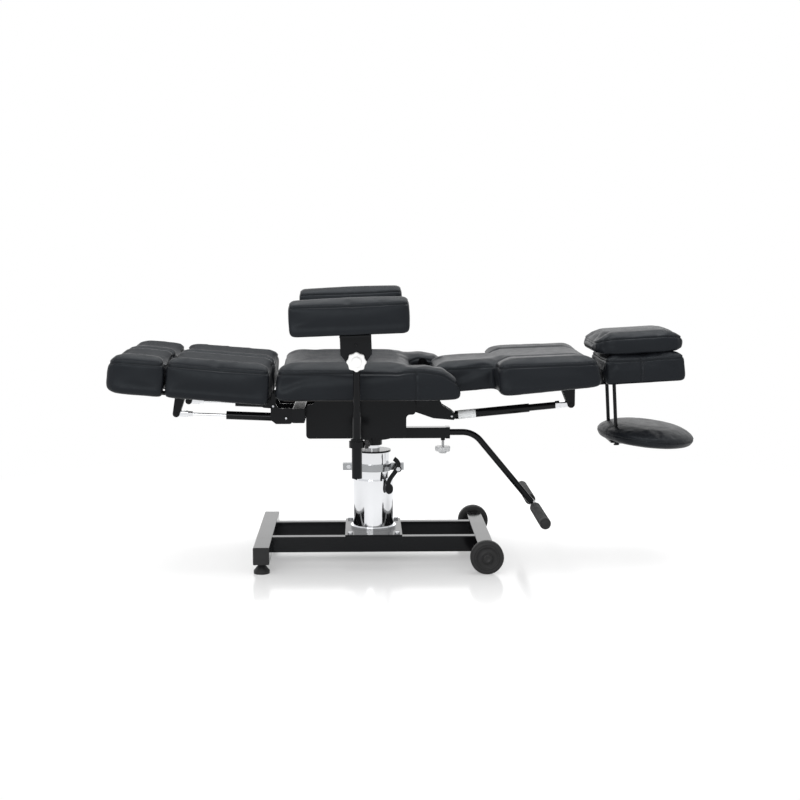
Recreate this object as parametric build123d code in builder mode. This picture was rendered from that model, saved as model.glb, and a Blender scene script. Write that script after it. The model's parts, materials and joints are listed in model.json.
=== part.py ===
from build123d import *
import os
from math import atan2, cos, degrees, pi, radians, sin, tan

os.makedirs("parts", exist_ok=True)

# Hydraulic tattoo chair, laid flat. The origin is on the floor under the middle of its overall length.
# +X runs to the head end, -Y is the near side and +Z is up. Every size is in millimetres.

# Clearances
running_gap = 0.05      # radial, shaft in bush
side_gap = 0.4          # between faces that slide past each other
overrun = 2.0           # how far a cutting tool runs past the face that it opens

# Base
axis_spacing = 697.0    # between the axes of the two crossbars
bar_wide = 50.0
bar_high = 54.0
bar_wall = 2.5
bar_clear = 31.0        # floor to the underside of the crossbars
bar_round = 3.0
foot_bar_long = 560.0
head_bar_long = 490.0
cap_thick = 3.0
cap_plug = 15.0
rail_wide = 32.0
rail_high = 50.0
base_half_wide = 130.0
plate_half_long = 91.0
plate_thick = 6.0
bolt_radius = 5.0
bolt_head_radius = 8.5
bolt_head_high = 6.0

# Levelling feet
leveller_inset = 27.0   # from the end of the crossbar
leveller_radius = 25.0
leveller_rim = 9.0
leveller_neck_radius = 11.0
leveller_neck_top = 26.0
leveller_stem_radius = 6.0
leveller_stem_above = 12.0

# Wheels
wheel_radius = 52.0
wheel_wide = 36.0
wheel_tread_round = 5.0
wheel_dish = 6.0
wheel_rim_radius = 38.0
wheel_hub_radius = 15.0
wheel_side_gap = 17.0   # crossbar end to the inner face of the tyre
axle_radius = 6.0
axle_head_radius = 10.0
axle_head_thick = 6.0

# Column
shroud_radius = 66.5
shroud_wall = 2.0
shroud_top = 252.0
shroud_ring_radius = 74.0
shroud_ring_high = 8.0
sleeve_radius = 52.0
sleeve_bore = 40.0
sleeve_top = 341.0
cap_rim_radius = 57.0
cap_rim_high = 6.0
bush_long = 46.0
rod_radius = 22.0
rod_tail_gap = 10.0
rod_shoulder = 362.6
spindle_radius = 17.0

# Swivel brake on the column
clamp_low = 280.0
clamp_high = 303.0
clamp_radius = 59.0
clamp_reach = 99.0
clamp_half_thick = 12.0
clamp_slot = 3.0
clamp_bolt_x = 80.0
clamp_bolt_radius = 4.0
clamp_bolt_head = 7.5
brake_lever_y = 61.0
brake_lever_thick = 6.0
brake_arm_wide = 14.0
paddle_wide = 26.0
paddle_long = 34.0

# Seat channel with its swivel hub
hub_bottom = 363.0
hub_radius = 29.0
hub_high = 22.0
hub_plate_radius = 60.0
channel_floor = 395.0
channel_sheet = 4.0
channel_half_wide = 88.0
channel_foot_x = -214.0
channel_head_x = 105.0
channel_tail_x = -187.0
channel_nose_x = 135.0
channel_step = 505.0
channel_nose_low = 471.0
channel_round = 12.0
pedal_slot_half = 20.0
pedal_slot_gap = 5.0
cross_tube_low = 461.0
cross_tube_high = 505.0
cross_tube_wide = 38.0
cross_tube_past = 19.0  # beyond the outer hinge plates
tube_wall = 2.5
tube_vent_radius = 4.0

# Seat pad
seat_bottom = 536.0
seat_foot_x = -303.0
seat_main_x = 131.0
seat_horn_x = 268.0
seat_half_wide = 285.0
seat_crest = 650.0
seat_dish = 22.0
seat_shoulder = 52.0
seat_board_thick = 12.0
seat_board_inset = 28.0
notch_half_wide = 170.0
horn_crown = 2.0

# Where a cushion rolls over at an end: run in length, inset in width, drop from the top, lift from below
seat_foot_roll = (32.0, 16.0, 34.0, 12.0)
seat_notch_roll = (30.0, 10.0, 30.0, 10.0)
horn_root_roll = (10.0, 2.0, 10.0, 4.0)
horn_tip_roll = (112.0, 8.0, 90.0, 8.0)
leg_joint_roll = (18.0, 10.0, 26.0, 8.0)
leg_foot_roll = (50.0, 30.0, 44.0, 20.0)
spine_roll = (30.0, 16.0, 30.0, 10.0)
wing_roll = (30.0, 20.0, 32.0, 14.0)
head_roll = (16.0, 10.0, 16.0, 8.0)
pillow_nose_roll = (66.0, 72.0, 30.0, 22.0)
pillow_tail_roll = (54.0, 58.0, 30.0, 22.0)
arm_roll = (18.0, 8.0, 18.0, 14.0)

# Legs, measured from the leg hinge
leg_hinge_x = -312.0
leg_hinge_z = 512.0
leg_tilt = 4.8
leg_gap = 16.0          # between the two legs
leg_wide = 275.0
calf_start = 12.0
calf_long = 316.0
foot_gap = 4.0
foot_long = 177.0
leg_pad_low = 9.0
leg_pad_top = 133.0
leg_dish = 26.0
leg_shoulder = 40.0
leg_pocket = 20.0
leg_pocket_inset = 22.0
leg_pocket_half = 100.0
foot_slide_travel = 100.0
guide_radius = 10.0
guide_rod_radius = 7.0
guide_kept_long = 90.0  # of the rod, in its guide with the foot rest pulled out
frame_strap = 5.0
frame_strap_wide = 30.0
guide_half_spacing = 72.0
hinge_plate = 5.0
hinge_pin_radius = 5.0
hinge_barrel_radius = 8.0
pin_head_radius = 8.0
hinge_tongue_top = 548.0
nose_reach = 12.0
outer_plate_out = 35.5  # from the leg's middle
inner_plate_in = 83.5

# Leg gas springs
leg_spring_in = 21.0    # from the outer hinge plate
leg_spring_foot = (-614.0, 488.0)
leg_spring_seat = (-272.0, 474.0)
leg_tube_radius = 13.0
leg_tube_long = 187.0
leg_rod_radius = 4.0
eye_radius = 11.0
eye_half_thick = 6.0
leg_end_half_thick = 8.0
end_half_high = 9.0
end_long = 36.0
end_round = 4.0
nut_radius = 8.0
nut_long = 14.0
lug_plate = 4.0
spring_wall = 2.5
spring_guide = 8.0
piston_long = 8.0

# Back, measured from the back hinge
back_hinge_x = 166.0
back_hinge_z = 618.0
back_tilt = 5.0
spine_half_wide = 147.0
spine_start = 17.0
spine_end = 508.0
spine_top_front = 17.0
spine_top_rear = 8.0
spine_low = -79.0
wing_start = 212.0
wing_end = 531.0
wing_half_wide = 281.0
wing_top_front = 22.0
wing_top_rear = 9.0
wing_thin = 3.0          # how much higher its underside is at the head end
back_pad_low = -90.0
back_dish = 5.0
back_shoulder = 38.0
back_pocket = 36.0
back_pocket_half = 110.0
frame_tube = 20.0
frame_tube_y = 90.0
back_ear_y = 152.0
back_ear_half_wide = 12.0

# Back gas spring
back_spring_head = (642.0, 494.0)
back_spring_seat = (254.0, 457.0)
back_tube_radius = 14.0
back_tube_long = 254.0
back_rod_radius = 11.0
back_eye_radius = 12.0
back_end_half_thick = 14.0
spring_plate_half = 24.0

# Head section, measured from the head hinge
head_hinge_x = 714.0
head_hinge_z = 603.0
head_tilt = 3.3
head_half_wide = 150.0
head_start = 16.0
head_end = 272.0
head_low = -36.5
head_top = 55.0
head_dish = 4.0
head_shoulder = 22.0
pillow_half_wide = 131.0
pillow_start = -16.0
pillow_end = 276.0
pillow_top = 122.0
pillow_crown = 3.0
pillow_shoulder = 30.0
head_plate = 4.0
head_plate_long = 190.0

# Arm shelf, measured from the head hinge
shelf_rod_x = 55.0
shelf_rod_radius = 5.8
shelf_rod_y = 69.0
shelf_rod_up = 32.0
shelf_centre = (888.0, 401.0)
shelf_half_long = 154.0
shelf_half_wide = 215.0
shelf_thick = 58.0
shelf_pitch = 4.4
socket_radius = 9.0

# Armrests
arm_x = -52.0
arm_y = 345.0
arm_sleeve_radius = 15.5
arm_sleeve_low = 313.0
arm_sleeve_high = 427.0
arm_collar_radius = 23.5
arm_collar_low = 407.0
arm_collar_high = 426.0
arm_bar_wide = 25.0
post_radius = 12.5
post_neck_radius = 10.8
post_low = 320.0
post_step = 500.0
post_top = 686.0
tilt_z = 667.0
arm_tilt = 2.2
arm_plate_wide = 94.0
arm_plate_thick = 5.0
arm_plate_high = 82.0   # its top, from the tilt axis
arm_pad_high = 105.0
arm_pad_crown = 5.0
arm_pad_shoulder = 22.0
arm_plate_round = 22.0
arm_flange_radius = 19.0
arm_pad_inset = 7.0     # from the post's axis to its inner side
arm_pad_wide = 90.0
arm_pad_foot = -246.0
arm_pad_head = 110.0
star_radius = 30.0
star_lobes = 8
star_thick = 20.0
star_screw = 5.0
small_star_radius = 14.0
small_star_thick = 16.0
small_screw = 4.0

# Pump lever
pedal_pivot_x = 74.0
pedal_z = 402.0
pedal_pin_z = 408.0
socket_half = 17.5
socket_wall = 3.0
socket_end_x = 249.0
collar_long = 14.0
collar_grow = 1.0
clamp_screw_x = 227.0
clamp_boss_radius = 7.0
clamp_boss_low = 376.0
clamp_stem_radius = 4.0
clamp_knob_high = 356.0
clamp_knob_low = 333.0
clamp_knob_radius = 25.5
pedal_radius = 10.25
pedal_bend_x = 326.0
pedal_bend_radius = 77.0
pedal_end = (523.0, 164.0)
pedal_bar_half = 326.0
pedal_bar_radius = 11.0
grip_start = 66.0
grip_radius = 17.5
grip_end = 330.0
grip_round = 4.0
pedal_slide = 60.0      # how far it pulls out of its socket

# Places worked out from the sizes above
base_reach = axis_spacing / 2
bar_top = bar_clear + bar_high
leg_middle_y = (leg_gap + leg_wide) / 2
outer_plate_y = leg_middle_y + outer_plate_out
inner_plate_y = leg_middle_y - inner_plate_in
leg_spring_y = outer_plate_y - leg_spring_in
calf_end = calf_start + calf_long
foot_start = calf_end + foot_gap
foot_end = foot_start + foot_long
foot_tip_x = leg_hinge_x - foot_end * cos(radians(leg_tilt))
pedal_slot_back = pedal_pivot_x - socket_half - pedal_slot_gap
pedal_tail_x = clamp_screw_x - clamp_stem_radius - overrun / 2 - collar_long - pedal_slide
shelf_tip_x = shelf_centre[0] + shelf_half_long * cos(radians(shelf_pitch))
column_x = -(foot_tip_x + shelf_tip_x) / 2
sides = (("near", -1), ("far", 1))

column = Plane(origin=(column_x, 0, 0))


def tilted(x, z, tilt):
    """Frame at a hinge of the chair whose x axis rises towards the head end by tilt degrees."""
    lean = radians(tilt)
    return Plane(
        origin=column.from_local_coords((x, 0, z)),
        x_dir=(cos(lean), 0, sin(lean)),
        z_dir=(-sin(lean), 0, cos(lean)),
    )


def upright(base, y):
    """Sketch plane over the frame's x and z, at one y, facing the near side."""
    return Plane(origin=base.from_local_coords((0, y, 0)), x_dir=base.x_dir, z_dir=-base.y_dir)


def across(base, x):
    """Sketch plane over the frame's y and z, at one x, facing the head end."""
    return Plane(origin=base.from_local_coords((x, 0, 0)), x_dir=base.y_dir, z_dir=base.x_dir)


def bar(base, start, end, radius):
    """Round bar between two points of a frame."""
    a = Vector(*base.from_local_coords(start))
    b = Vector(*base.from_local_coords(end))
    with BuildPart() as piece:
        with BuildSketch(Plane(origin=a, z_dir=b - a)):
            Circle(radius)
        extrude(amount=(b - a).length)
    return piece.part


def block(base, low, high):
    """Square-edged block between two corners of a frame."""
    size = [h - l for l, h in zip(low, high)]
    middle = [(l + h) / 2 for l, h in zip(low, high)]
    with BuildPart() as piece:
        centre = base.from_local_coords(tuple(middle))
        with BuildSketch(Plane(origin=centre, x_dir=base.x_dir, z_dir=base.z_dir)):
            Rectangle(size[0], size[1])
        extrude(amount=size[2] / 2, both=True)
    return piece.part


def sheet(base, y, thick, points, holes=(), corner=0.0):
    """Flat plate over a frame's x and z, centred on one y, with round holes given as x, z, radius."""
    with BuildPart() as piece:
        with BuildSketch(upright(base, y)) as outline:
            with BuildLine():
                Polyline(*points, close=True)
            make_face()
            if corner:
                fillet(outline.vertices(), corner)
            for x, z, radius in holes:
                with Locations((x, z)):
                    Circle(radius, mode=Mode.SUBTRACT)
        extrude(amount=thick / 2, both=True)
    return piece.part


def strap(base, y, thick, start, end, half_wide, holes=()):
    """Link plate with round ends over a frame's x and z, with round holes given as x, z, radius."""
    run = Vector(end[0] - start[0], end[1] - start[1])
    with BuildPart() as piece:
        with BuildSketch(upright(base, y)):
            with Locations(((start[0] + end[0]) / 2, (start[1] + end[1]) / 2)):
                SlotCenterToCenter(run.length, 2 * half_wide, rotation=degrees(atan2(run.Y, run.X)))
            for x, z, radius in holes:
                with Locations((x, z)):
                    Circle(radius, mode=Mode.SUBTRACT)
        extrude(amount=thick / 2, both=True)
    return piece.part


def pad_section(base, x, y, half_wide, low, top, dish, shoulder):
    """Cross-section of a cushion: flat underside, drawn-in sides and a dished or crowned top."""
    side_share = 0.72
    corner = min(0.16 * (top - low), 0.3 * half_wide)
    shoulder = min(shoulder, 0.7 * half_wide)
    seam = low + side_share * (top - low)
    tuck = 0.03 * (top - low)
    slack = 1 - cos(pi / 4)
    right = y + half_wide
    left = y - half_wide
    with BuildSketch(across(base, x)) as outline:
        with BuildLine():
            Line((left + corner, low), (right - corner, low))
            ThreePointArc(
                (right - corner, low),
                (right - slack * corner, low + slack * corner),
                (right, low + corner),
            )
            ThreePointArc((right, low + corner), (right - tuck, (low + corner + seam) / 2), (right, seam))
            ThreePointArc(
                (right, seam),
                (right - slack * shoulder, top - slack * (top - seam)),
                (right - shoulder, top),
            )
            ThreePointArc((right - shoulder, top), (y, top - dish), (left + shoulder, top))
            ThreePointArc(
                (left + shoulder, top),
                (left + slack * shoulder, top - slack * (top - seam)),
                (left, seam),
            )
            ThreePointArc((left, seam), (left + tuck, (low + corner + seam) / 2), (left, low + corner))
            ThreePointArc(
                (left, low + corner),
                (left + slack * corner, low + slack * corner),
                (left + corner, low),
            )
        make_face()
    return outline.sketch


def cushion(base, y, stations, rolls):
    """Cushion along a frame's x axis.

    A station is x, half width, low, top, dish and shoulder. The first and the last one are where the
    cushion ends, and each rolls over there: by its run in length, its inset in width, its drop from the
    top and its lift from the underside.
    """
    turn = (0, 30, 60)
    sections = []
    for k, (x, half_wide, low, top, dish, shoulder) in enumerate(stations):
        ends = {0: (rolls[0], 1), len(stations) - 1: (rolls[1], -1)}
        if k in ends:
            (run, inset, drop, lift), way = ends[k]
            bent = []
            for angle in turn:
                near_end = 1 - sin(radians(angle))
                along = run * (1 - cos(radians(angle)))
                bent.append(pad_section(
                    base,
                    x + way * along,
                    y,
                    half_wide - near_end * inset,
                    low + near_end * lift,
                    top - near_end * drop,
                    dish * (1 - near_end / 2),
                    shoulder * (1 - near_end / 2),
                ))
            bent.append(pad_section(base, x + way * run, y, half_wide, low, top, dish, shoulder))
            sections += bent if way > 0 else bent[::-1]
        else:
            sections.append(pad_section(base, x, y, half_wide, low, top, dish, shoulder))
    with BuildPart() as piece:
        loft(sections, ruled=True)
    return piece.part


def star(plane, radius, thick, lobes):
    """Hand knob with round lobes, standing on a plane."""
    lobe_share = 0.3
    boss_share = 0.6
    rim_share = 0.8
    with BuildPart() as piece:
        with BuildSketch(plane):
            Circle(radius * (1 - lobe_share / 2))
            with PolarLocations(radius * (1 - lobe_share / 2), lobes):
                Circle(radius * lobe_share / 2)
            with PolarLocations(radius, lobes, start_angle=180 / lobes):
                Circle(radius * lobe_share / 2, mode=Mode.SUBTRACT)
        extrude(amount=rim_share * thick)
        with BuildSketch(plane):
            Circle(boss_share * radius)
        extrude(amount=thick)
    return piece.part


def local_of(base, x, z):
    """Place in the column's x and z, given in another frame's x and z."""
    place = base.to_local_coords(Vector(*column.from_local_coords((x, 0, z))))
    return place.X, place.Z


def spring_axis(y, start, end):
    """Plane at start, looking along the spring, with its sketch x in the spring's swing plane."""
    way = column.x_dir * (end[0] - start[0]) + column.z_dir * (end[1] - start[1])
    origin = column.from_local_coords((start[0], y, start[1]))
    return Plane(origin=origin, x_dir=way.cross(column.y_dir), z_dir=way)


def gas_tube(y, start, end, radius, length, rod, eye):
    """Cylinder of a gas spring from its eye at start towards end, with its bore and rod guide."""
    neck_share = 0.6
    aim = spring_axis(y, start, end)
    with BuildPart() as piece:
        with BuildSketch(aim.offset(eye)):
            Circle(radius)
        extrude(amount=length - eye)
        with BuildSketch(aim):
            Circle(neck_share * radius)
        extrude(amount=eye + spring_wall)
        ends = [(start[0], y + way * eye_half_thick, start[1]) for way in (-1, 1)]
        add(bar(column, *ends, eye))
        with BuildSketch(aim.offset(length)):
            Circle(rod + running_gap)
        extrude(amount=-spring_guide, mode=Mode.SUBTRACT)
        with BuildSketch(aim.offset(length - spring_guide)):
            Circle(radius - spring_wall)
        extrude(amount=-(length - spring_guide - 2 * eye), mode=Mode.SUBTRACT)
        add(bar(
            column,
            (start[0], y - radius, start[1]),
            (start[0], y + radius, start[1]),
            hinge_pin_radius + running_gap,
        ), mode=Mode.SUBTRACT)
    return piece.part


def gas_rod(y, start, end, radius, rod, tail, end_half_thick):
    """Rod of a gas spring with its piston, lock nut and end block. It starts at tail, measured from start."""
    reach = Vector(end[0] - start[0], end[1] - start[1]).length
    aim = spring_axis(y, start, end)
    with BuildPart() as piece:
        with BuildSketch(aim.offset(tail)):
            Circle(rod)
        extrude(amount=reach - end_long - tail)
        with BuildSketch(aim.offset(tail)):
            Circle(radius - spring_wall - running_gap)
        extrude(amount=piston_long)
        with BuildSketch(aim.offset(reach - end_long - nut_long)):
            RegularPolygon(max(nut_radius, rod + spring_wall), 6)
        extrude(amount=nut_long)
        with BuildSketch(aim.offset(reach - end_long)):
            RectangleRounded(2 * end_half_high, 2 * end_half_thick, end_round)
        extrude(amount=end_long)
        block_ends = [(end[0], y + way * end_half_thick, end[1]) for way in (-1, 1)]
        add(bar(column, *block_ends, end_half_high))
    return piece.part


def spring_lug(hang, y, end, radius, low, high, foot, end_half_thick):
    """Two bracket plates that hang from a frame, from a foot between two x places down to the spring's end."""
    x, z = local_of(hang, *end)
    with BuildPart() as piece:
        for way in (-1, 1):
            inner = end_half_thick + side_gap
            with BuildSketch(upright(hang, y + way * (inner + lug_plate / 2))):
                with BuildLine():
                    Polyline((low, foot), (high, foot), (x + radius, z), (x - radius, z), close=True)
                make_face()
                with Locations((x, z)):
                    Circle(radius)
            extrude(amount=lug_plate / 2, both=True)
            ends = ((x, y + way * (inner + lug_plate), z), (x, y + way * (inner + 2 * lug_plate), z))
            add(bar(hang, *ends, hinge_pin_radius))
    return piece.part


def save(piece, name):
    """Label a finished piece and write its STEP file."""
    piece.part.label = name
    export_step(piece.part, f"parts/{name}.step")


# Base frame

for side_name, side in sides:
    with BuildPart() as rail:
        with BuildSketch(across(column, -base_reach + bar_wide / 2)):
            with Locations((side * (base_half_wide - rail_wide / 2), bar_top - rail_high / 2)):
                RectangleRounded(rail_wide, rail_high, bar_round)
                Rectangle(rail_wide - 2 * bar_wall, rail_high - 2 * bar_wall, mode=Mode.SUBTRACT)
        extrude(amount=axis_spacing - bar_wide)
    save(rail, f"base_rail_{side_name}")

for end_name, end, length in (("foot", -1, foot_bar_long), ("head", 1, head_bar_long)):
    with BuildPart() as crossbar:
        with BuildSketch(upright(column, 0)):
            with Locations((end * base_reach, bar_clear + bar_high / 2)):
                RectangleRounded(bar_wide, bar_high, bar_round)
                Rectangle(bar_wide - 2 * bar_wall, bar_high - 2 * bar_wall, mode=Mode.SUBTRACT)
        extrude(amount=length / 2 - cap_thick, both=True)
        if end < 0:
            for side_name, side in sides:
                stem_y = side * (length / 2 - leveller_inset)
                add(bar(
                    column,
                    (-base_reach, stem_y, bar_clear - overrun),
                    (-base_reach, stem_y, bar_clear + bar_wall + overrun),
                    leveller_stem_radius,
                ), mode=Mode.SUBTRACT)
    save(crossbar, f"crossbar_{end_name}")

with BuildPart() as crossbar_caps:
    for end, length in ((-1, foot_bar_long), (1, head_bar_long)):
        for side_name, side in sides:
            with BuildSketch(upright(column, side * length / 2)):
                with Locations((end * base_reach, bar_clear + bar_high / 2)):
                    RectangleRounded(bar_wide, bar_high, bar_round)
            extrude(amount=side * cap_thick)
            with BuildSketch(upright(column, side * (length / 2 - cap_thick))):
                with Locations((end * base_reach, bar_clear + bar_high / 2)):
                    Rectangle(bar_wide - 2 * bar_wall, bar_high - 2 * bar_wall)
            extrude(amount=side * (cap_plug - cap_thick))
            if end > 0:
                inner = side * (length / 2 - cap_plug - overrun)
                add(bar(
                    column,
                    (base_reach, inner, wheel_radius),
                    (base_reach, side * (length / 2 + overrun), wheel_radius),
                    axle_radius,
                ), mode=Mode.SUBTRACT)
save(crossbar_caps, "crossbar_caps")

with BuildPart() as levelling_feet:
    for side_name, side in sides:
        foot_y = side * (foot_bar_long / 2 - leveller_inset)
        with BuildSketch(upright(Plane(origin=column.from_local_coords((-base_reach, foot_y, 0))), 0)):
            with BuildLine():
                Polyline(
                    (0, 0),
                    (leveller_radius, 0),
                    (leveller_radius, leveller_rim),
                    (leveller_neck_radius, leveller_neck_top),
                    (leveller_neck_radius, bar_clear),
                    (leveller_stem_radius, bar_clear),
                    (leveller_stem_radius, bar_clear + bar_wall + leveller_stem_above),
                    (0, bar_clear + bar_wall + leveller_stem_above),
                    close=True,
                )
            make_face()
        revolve(axis=Axis(column.from_local_coords((-base_reach, foot_y, 0)), column.z_dir))
save(levelling_feet, "levelling_feet")

with BuildPart() as pump_plate:
    with BuildSketch(column.offset(bar_top)):
        RectangleRounded(2 * plate_half_long, 2 * base_half_wide, bar_round)
        with GridLocations(2 * (plate_half_long - rail_wide / 2), 2 * base_half_wide - rail_wide, 2, 2):
            Circle(bolt_radius, mode=Mode.SUBTRACT)
    extrude(amount=plate_thick)
save(pump_plate, "pump_plate")
plate_top = bar_top + plate_thick

for side_name, side in sides:
    wheel_inner = head_bar_long / 2 + wheel_side_gap
    wheel_outer = wheel_inner + wheel_wide
    hub_in = head_bar_long / 2 + side_gap
    hub_out = wheel_outer + side_gap
    with BuildPart() as wheel:
        with BuildSketch(Plane(
            origin=column.from_local_coords((base_reach, 0, wheel_radius)),
            x_dir=(0, side, 0),
            z_dir=(-side, 0, 0),
        )):
            with BuildLine():
                Polyline(
                    (hub_in, axle_radius + running_gap),
                    (hub_out, axle_radius + running_gap),
                    (hub_out, wheel_hub_radius),
                    (wheel_outer - wheel_dish, wheel_hub_radius),
                    (wheel_outer - wheel_dish, wheel_rim_radius),
                    (wheel_outer, wheel_rim_radius),
                    (wheel_outer, wheel_radius - wheel_tread_round),
                    (wheel_outer - wheel_tread_round, wheel_radius),
                    (wheel_inner + wheel_tread_round, wheel_radius),
                    (wheel_inner, wheel_radius - wheel_tread_round),
                    (wheel_inner, wheel_rim_radius),
                    (wheel_inner + wheel_dish, wheel_rim_radius),
                    (wheel_inner + wheel_dish, wheel_hub_radius),
                    (hub_in, wheel_hub_radius),
                    close=True,
                )
            make_face()
        revolve(axis=Axis(column.from_local_coords((base_reach, 0, wheel_radius)), (0, 1, 0)))
    save(wheel, f"wheel_{side_name}")

with BuildPart() as base_bolts:
    for x in (-1, 1):
        for side_name, side in sides:
            bolt_x = x * (plate_half_long - rail_wide / 2)
            bolt_y = side * (base_half_wide - rail_wide / 2)
            with BuildSketch(column.offset(plate_top)):
                with Locations((bolt_x, bolt_y)):
                    RegularPolygon(bolt_head_radius, 6)
            extrude(amount=bolt_head_high)
            add(bar(column, (bolt_x, bolt_y, bar_top), (bolt_x, bolt_y, plate_top), bolt_radius))
    for side_name, side in sides:
        head_y = side * (head_bar_long / 2 + wheel_side_gap + wheel_wide + 2 * side_gap)
        add(bar(
            column,
            (base_reach, side * (head_bar_long / 2 - cap_plug), wheel_radius),
            (base_reach, head_y, wheel_radius),
            axle_radius,
        ))
        with BuildSketch(upright(column, head_y)):
            with Locations((base_reach, wheel_radius)):
                Circle(axle_head_radius)
        extrude(amount=-side * axle_head_thick)
    clamp_middle = (clamp_low + clamp_high) / 2
    for x in (-1, 1):
        front_y = -(brake_lever_y + brake_lever_thick / 2 + side_gap) if x > 0 else -clamp_half_thick
        add(bar(
            column,
            (x * clamp_bolt_x, clamp_half_thick, clamp_middle),
            (x * clamp_bolt_x, front_y, clamp_middle),
            clamp_bolt_radius,
        ))
        for head_y, way in ((clamp_half_thick, -1), (front_y, 1)):
            with BuildSketch(upright(column, head_y)):
                with Locations((x * clamp_bolt_x, clamp_middle)):
                    RegularPolygon(clamp_bolt_head, 6)
            extrude(amount=way * clamp_bolt_radius)
save(base_bolts, "base_bolts")

# Column

with BuildPart() as pump_shroud:
    with BuildSketch(column.offset(plate_top)):
        Circle(shroud_radius)
        Circle(shroud_radius - shroud_wall, mode=Mode.SUBTRACT)
    extrude(amount=shroud_top - plate_top)
    with BuildSketch(column.offset(plate_top)):
        Circle(shroud_ring_radius)
        Circle(shroud_radius - shroud_wall, mode=Mode.SUBTRACT)
    extrude(amount=shroud_ring_high)
    with BuildSketch(column.offset(shroud_top - shroud_wall)):
        Circle(shroud_radius)
        Circle(sleeve_radius, mode=Mode.SUBTRACT)
    extrude(amount=shroud_wall)
save(pump_shroud, "pump_shroud")

with BuildPart() as pump_sleeve:
    with BuildSketch(column.offset(plate_top)):
        Circle(sleeve_radius)
        Circle(sleeve_bore, mode=Mode.SUBTRACT)
    extrude(amount=sleeve_top - plate_top)
save(pump_sleeve, "pump_sleeve")

with BuildPart() as pump_cap:
    with BuildSketch(column.offset(sleeve_top)):
        Circle(cap_rim_radius)
    extrude(amount=cap_rim_high)
    with BuildSketch(column.offset(sleeve_top)):
        Circle(sleeve_bore)
    extrude(amount=-bush_long)
    with BuildSketch(column.offset(sleeve_top + cap_rim_high)):
        Circle(rod_radius + running_gap)
    extrude(amount=-(bush_long + cap_rim_high), mode=Mode.SUBTRACT)
save(pump_cap, "pump_cap")

with BuildPart() as brake_clamp:
    with BuildSketch(column.offset(clamp_low)):
        Circle(clamp_radius)
        Rectangle(2 * clamp_reach, 2 * clamp_half_thick)
        for x in (-1, 1):
            with Locations((x * (clamp_radius + clamp_reach) / 2, 0)):
                Rectangle(clamp_reach - clamp_radius, clamp_slot, mode=Mode.SUBTRACT)
        Circle(sleeve_radius, mode=Mode.SUBTRACT)
    extrude(amount=clamp_high - clamp_low)
    for x in (-1, 1):
        with BuildSketch(upright(column, 0)):
            with Locations((x * clamp_bolt_x, (clamp_low + clamp_high) / 2)):
                Circle(clamp_bolt_radius)
        extrude(amount=clamp_half_thick + overrun, both=True, mode=Mode.SUBTRACT)
save(brake_clamp, "brake_clamp")

with BuildPart() as brake_lever:
    pivot = (clamp_bolt_x, (clamp_low + clamp_high) / 2)
    paddle = (pivot[0] - 2.1 * brake_arm_wide, pivot[1] - 1.9 * paddle_long)
    knee = (pivot[0] - 1.3 * brake_arm_wide, pivot[1] - 0.6 * paddle_long)
    hook = (pivot[0] - brake_arm_wide, pivot[1] + paddle_long)
    with BuildSketch(upright(column, -brake_lever_y)):
        with BuildLine() as spine:
            Spline(hook, (pivot[0], pivot[1] + brake_arm_wide), knee, paddle)
        trace(spine.line, brake_arm_wide)
        with Locations(paddle):
            Ellipse(paddle_wide / 2, paddle_long / 2)
        with Locations(pivot):
            Circle(0.75 * brake_arm_wide)
            Circle(clamp_bolt_radius + running_gap, mode=Mode.SUBTRACT)
    extrude(amount=brake_lever_thick / 2, both=True)
save(brake_lever, "brake_lever")

with BuildPart() as piston_rod:
    with BuildSketch(column.offset(plate_top + rod_tail_gap)):
        Circle(rod_radius)
    extrude(amount=rod_shoulder - plate_top - rod_tail_gap)
    with BuildSketch(column.offset(rod_shoulder)):
        Circle(spindle_radius)
    extrude(amount=channel_floor - rod_shoulder - side_gap)
save(piston_rod, "piston_rod")

# Seat frame

with BuildPart() as seat_channel:
    with BuildSketch(upright(column, 0)) as channel_outline:
        with BuildLine():
            Polyline(
                (channel_foot_x, channel_floor),
                (channel_head_x, channel_floor),
                (channel_head_x, channel_nose_low),
                (channel_nose_x, channel_nose_low),
                (channel_nose_x, seat_bottom),
                (channel_tail_x, seat_bottom),
                (channel_tail_x, channel_step),
                (channel_foot_x, channel_step),
                close=True,
            )
        make_face()
        fillet(channel_outline.vertices().group_by(Axis.Z)[0], channel_round)
    extrude(amount=channel_half_wide, both=True)
    add(block(
        column,
        (channel_foot_x - overrun, -channel_half_wide + channel_sheet, channel_floor + channel_sheet),
        (channel_nose_x + overrun, channel_half_wide - channel_sheet, seat_bottom + overrun),
    ), mode=Mode.SUBTRACT)
    add(block(
        column,
        (pedal_slot_back, -pedal_slot_half, channel_floor - overrun),
        (channel_head_x + overrun, pedal_slot_half, channel_floor + channel_sheet + overrun),
    ), mode=Mode.SUBTRACT)
    with BuildSketch(column.offset(hub_bottom)):
        Circle(hub_radius)
    extrude(amount=hub_high)
    with BuildSketch(column.offset(hub_bottom + hub_high)):
        Circle(hub_plate_radius)
        with Locations((pedal_slot_back + hub_plate_radius / 2, 0)):
            Rectangle(hub_plate_radius, 2 * pedal_slot_half, mode=Mode.SUBTRACT)
    extrude(amount=channel_floor - hub_bottom - hub_high)
    with BuildSketch(column.offset(hub_bottom)):
        Circle(spindle_radius + running_gap)
    extrude(amount=channel_floor - hub_bottom, mode=Mode.SUBTRACT)
    for side_name, side in sides:
        lug_y = side * (pedal_slot_half + hinge_plate / 2)
        add(sheet(
            column,
            lug_y,
            hinge_plate,
            [
                (pedal_slot_back, channel_floor + channel_sheet),
                (channel_head_x, channel_floor + channel_sheet),
                (channel_head_x, pedal_z + socket_half),
                (pedal_slot_back, pedal_z + socket_half),
            ],
            [(pedal_pivot_x, pedal_pin_z, hinge_pin_radius)],
        ))
save(seat_channel, "seat_channel")
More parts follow.
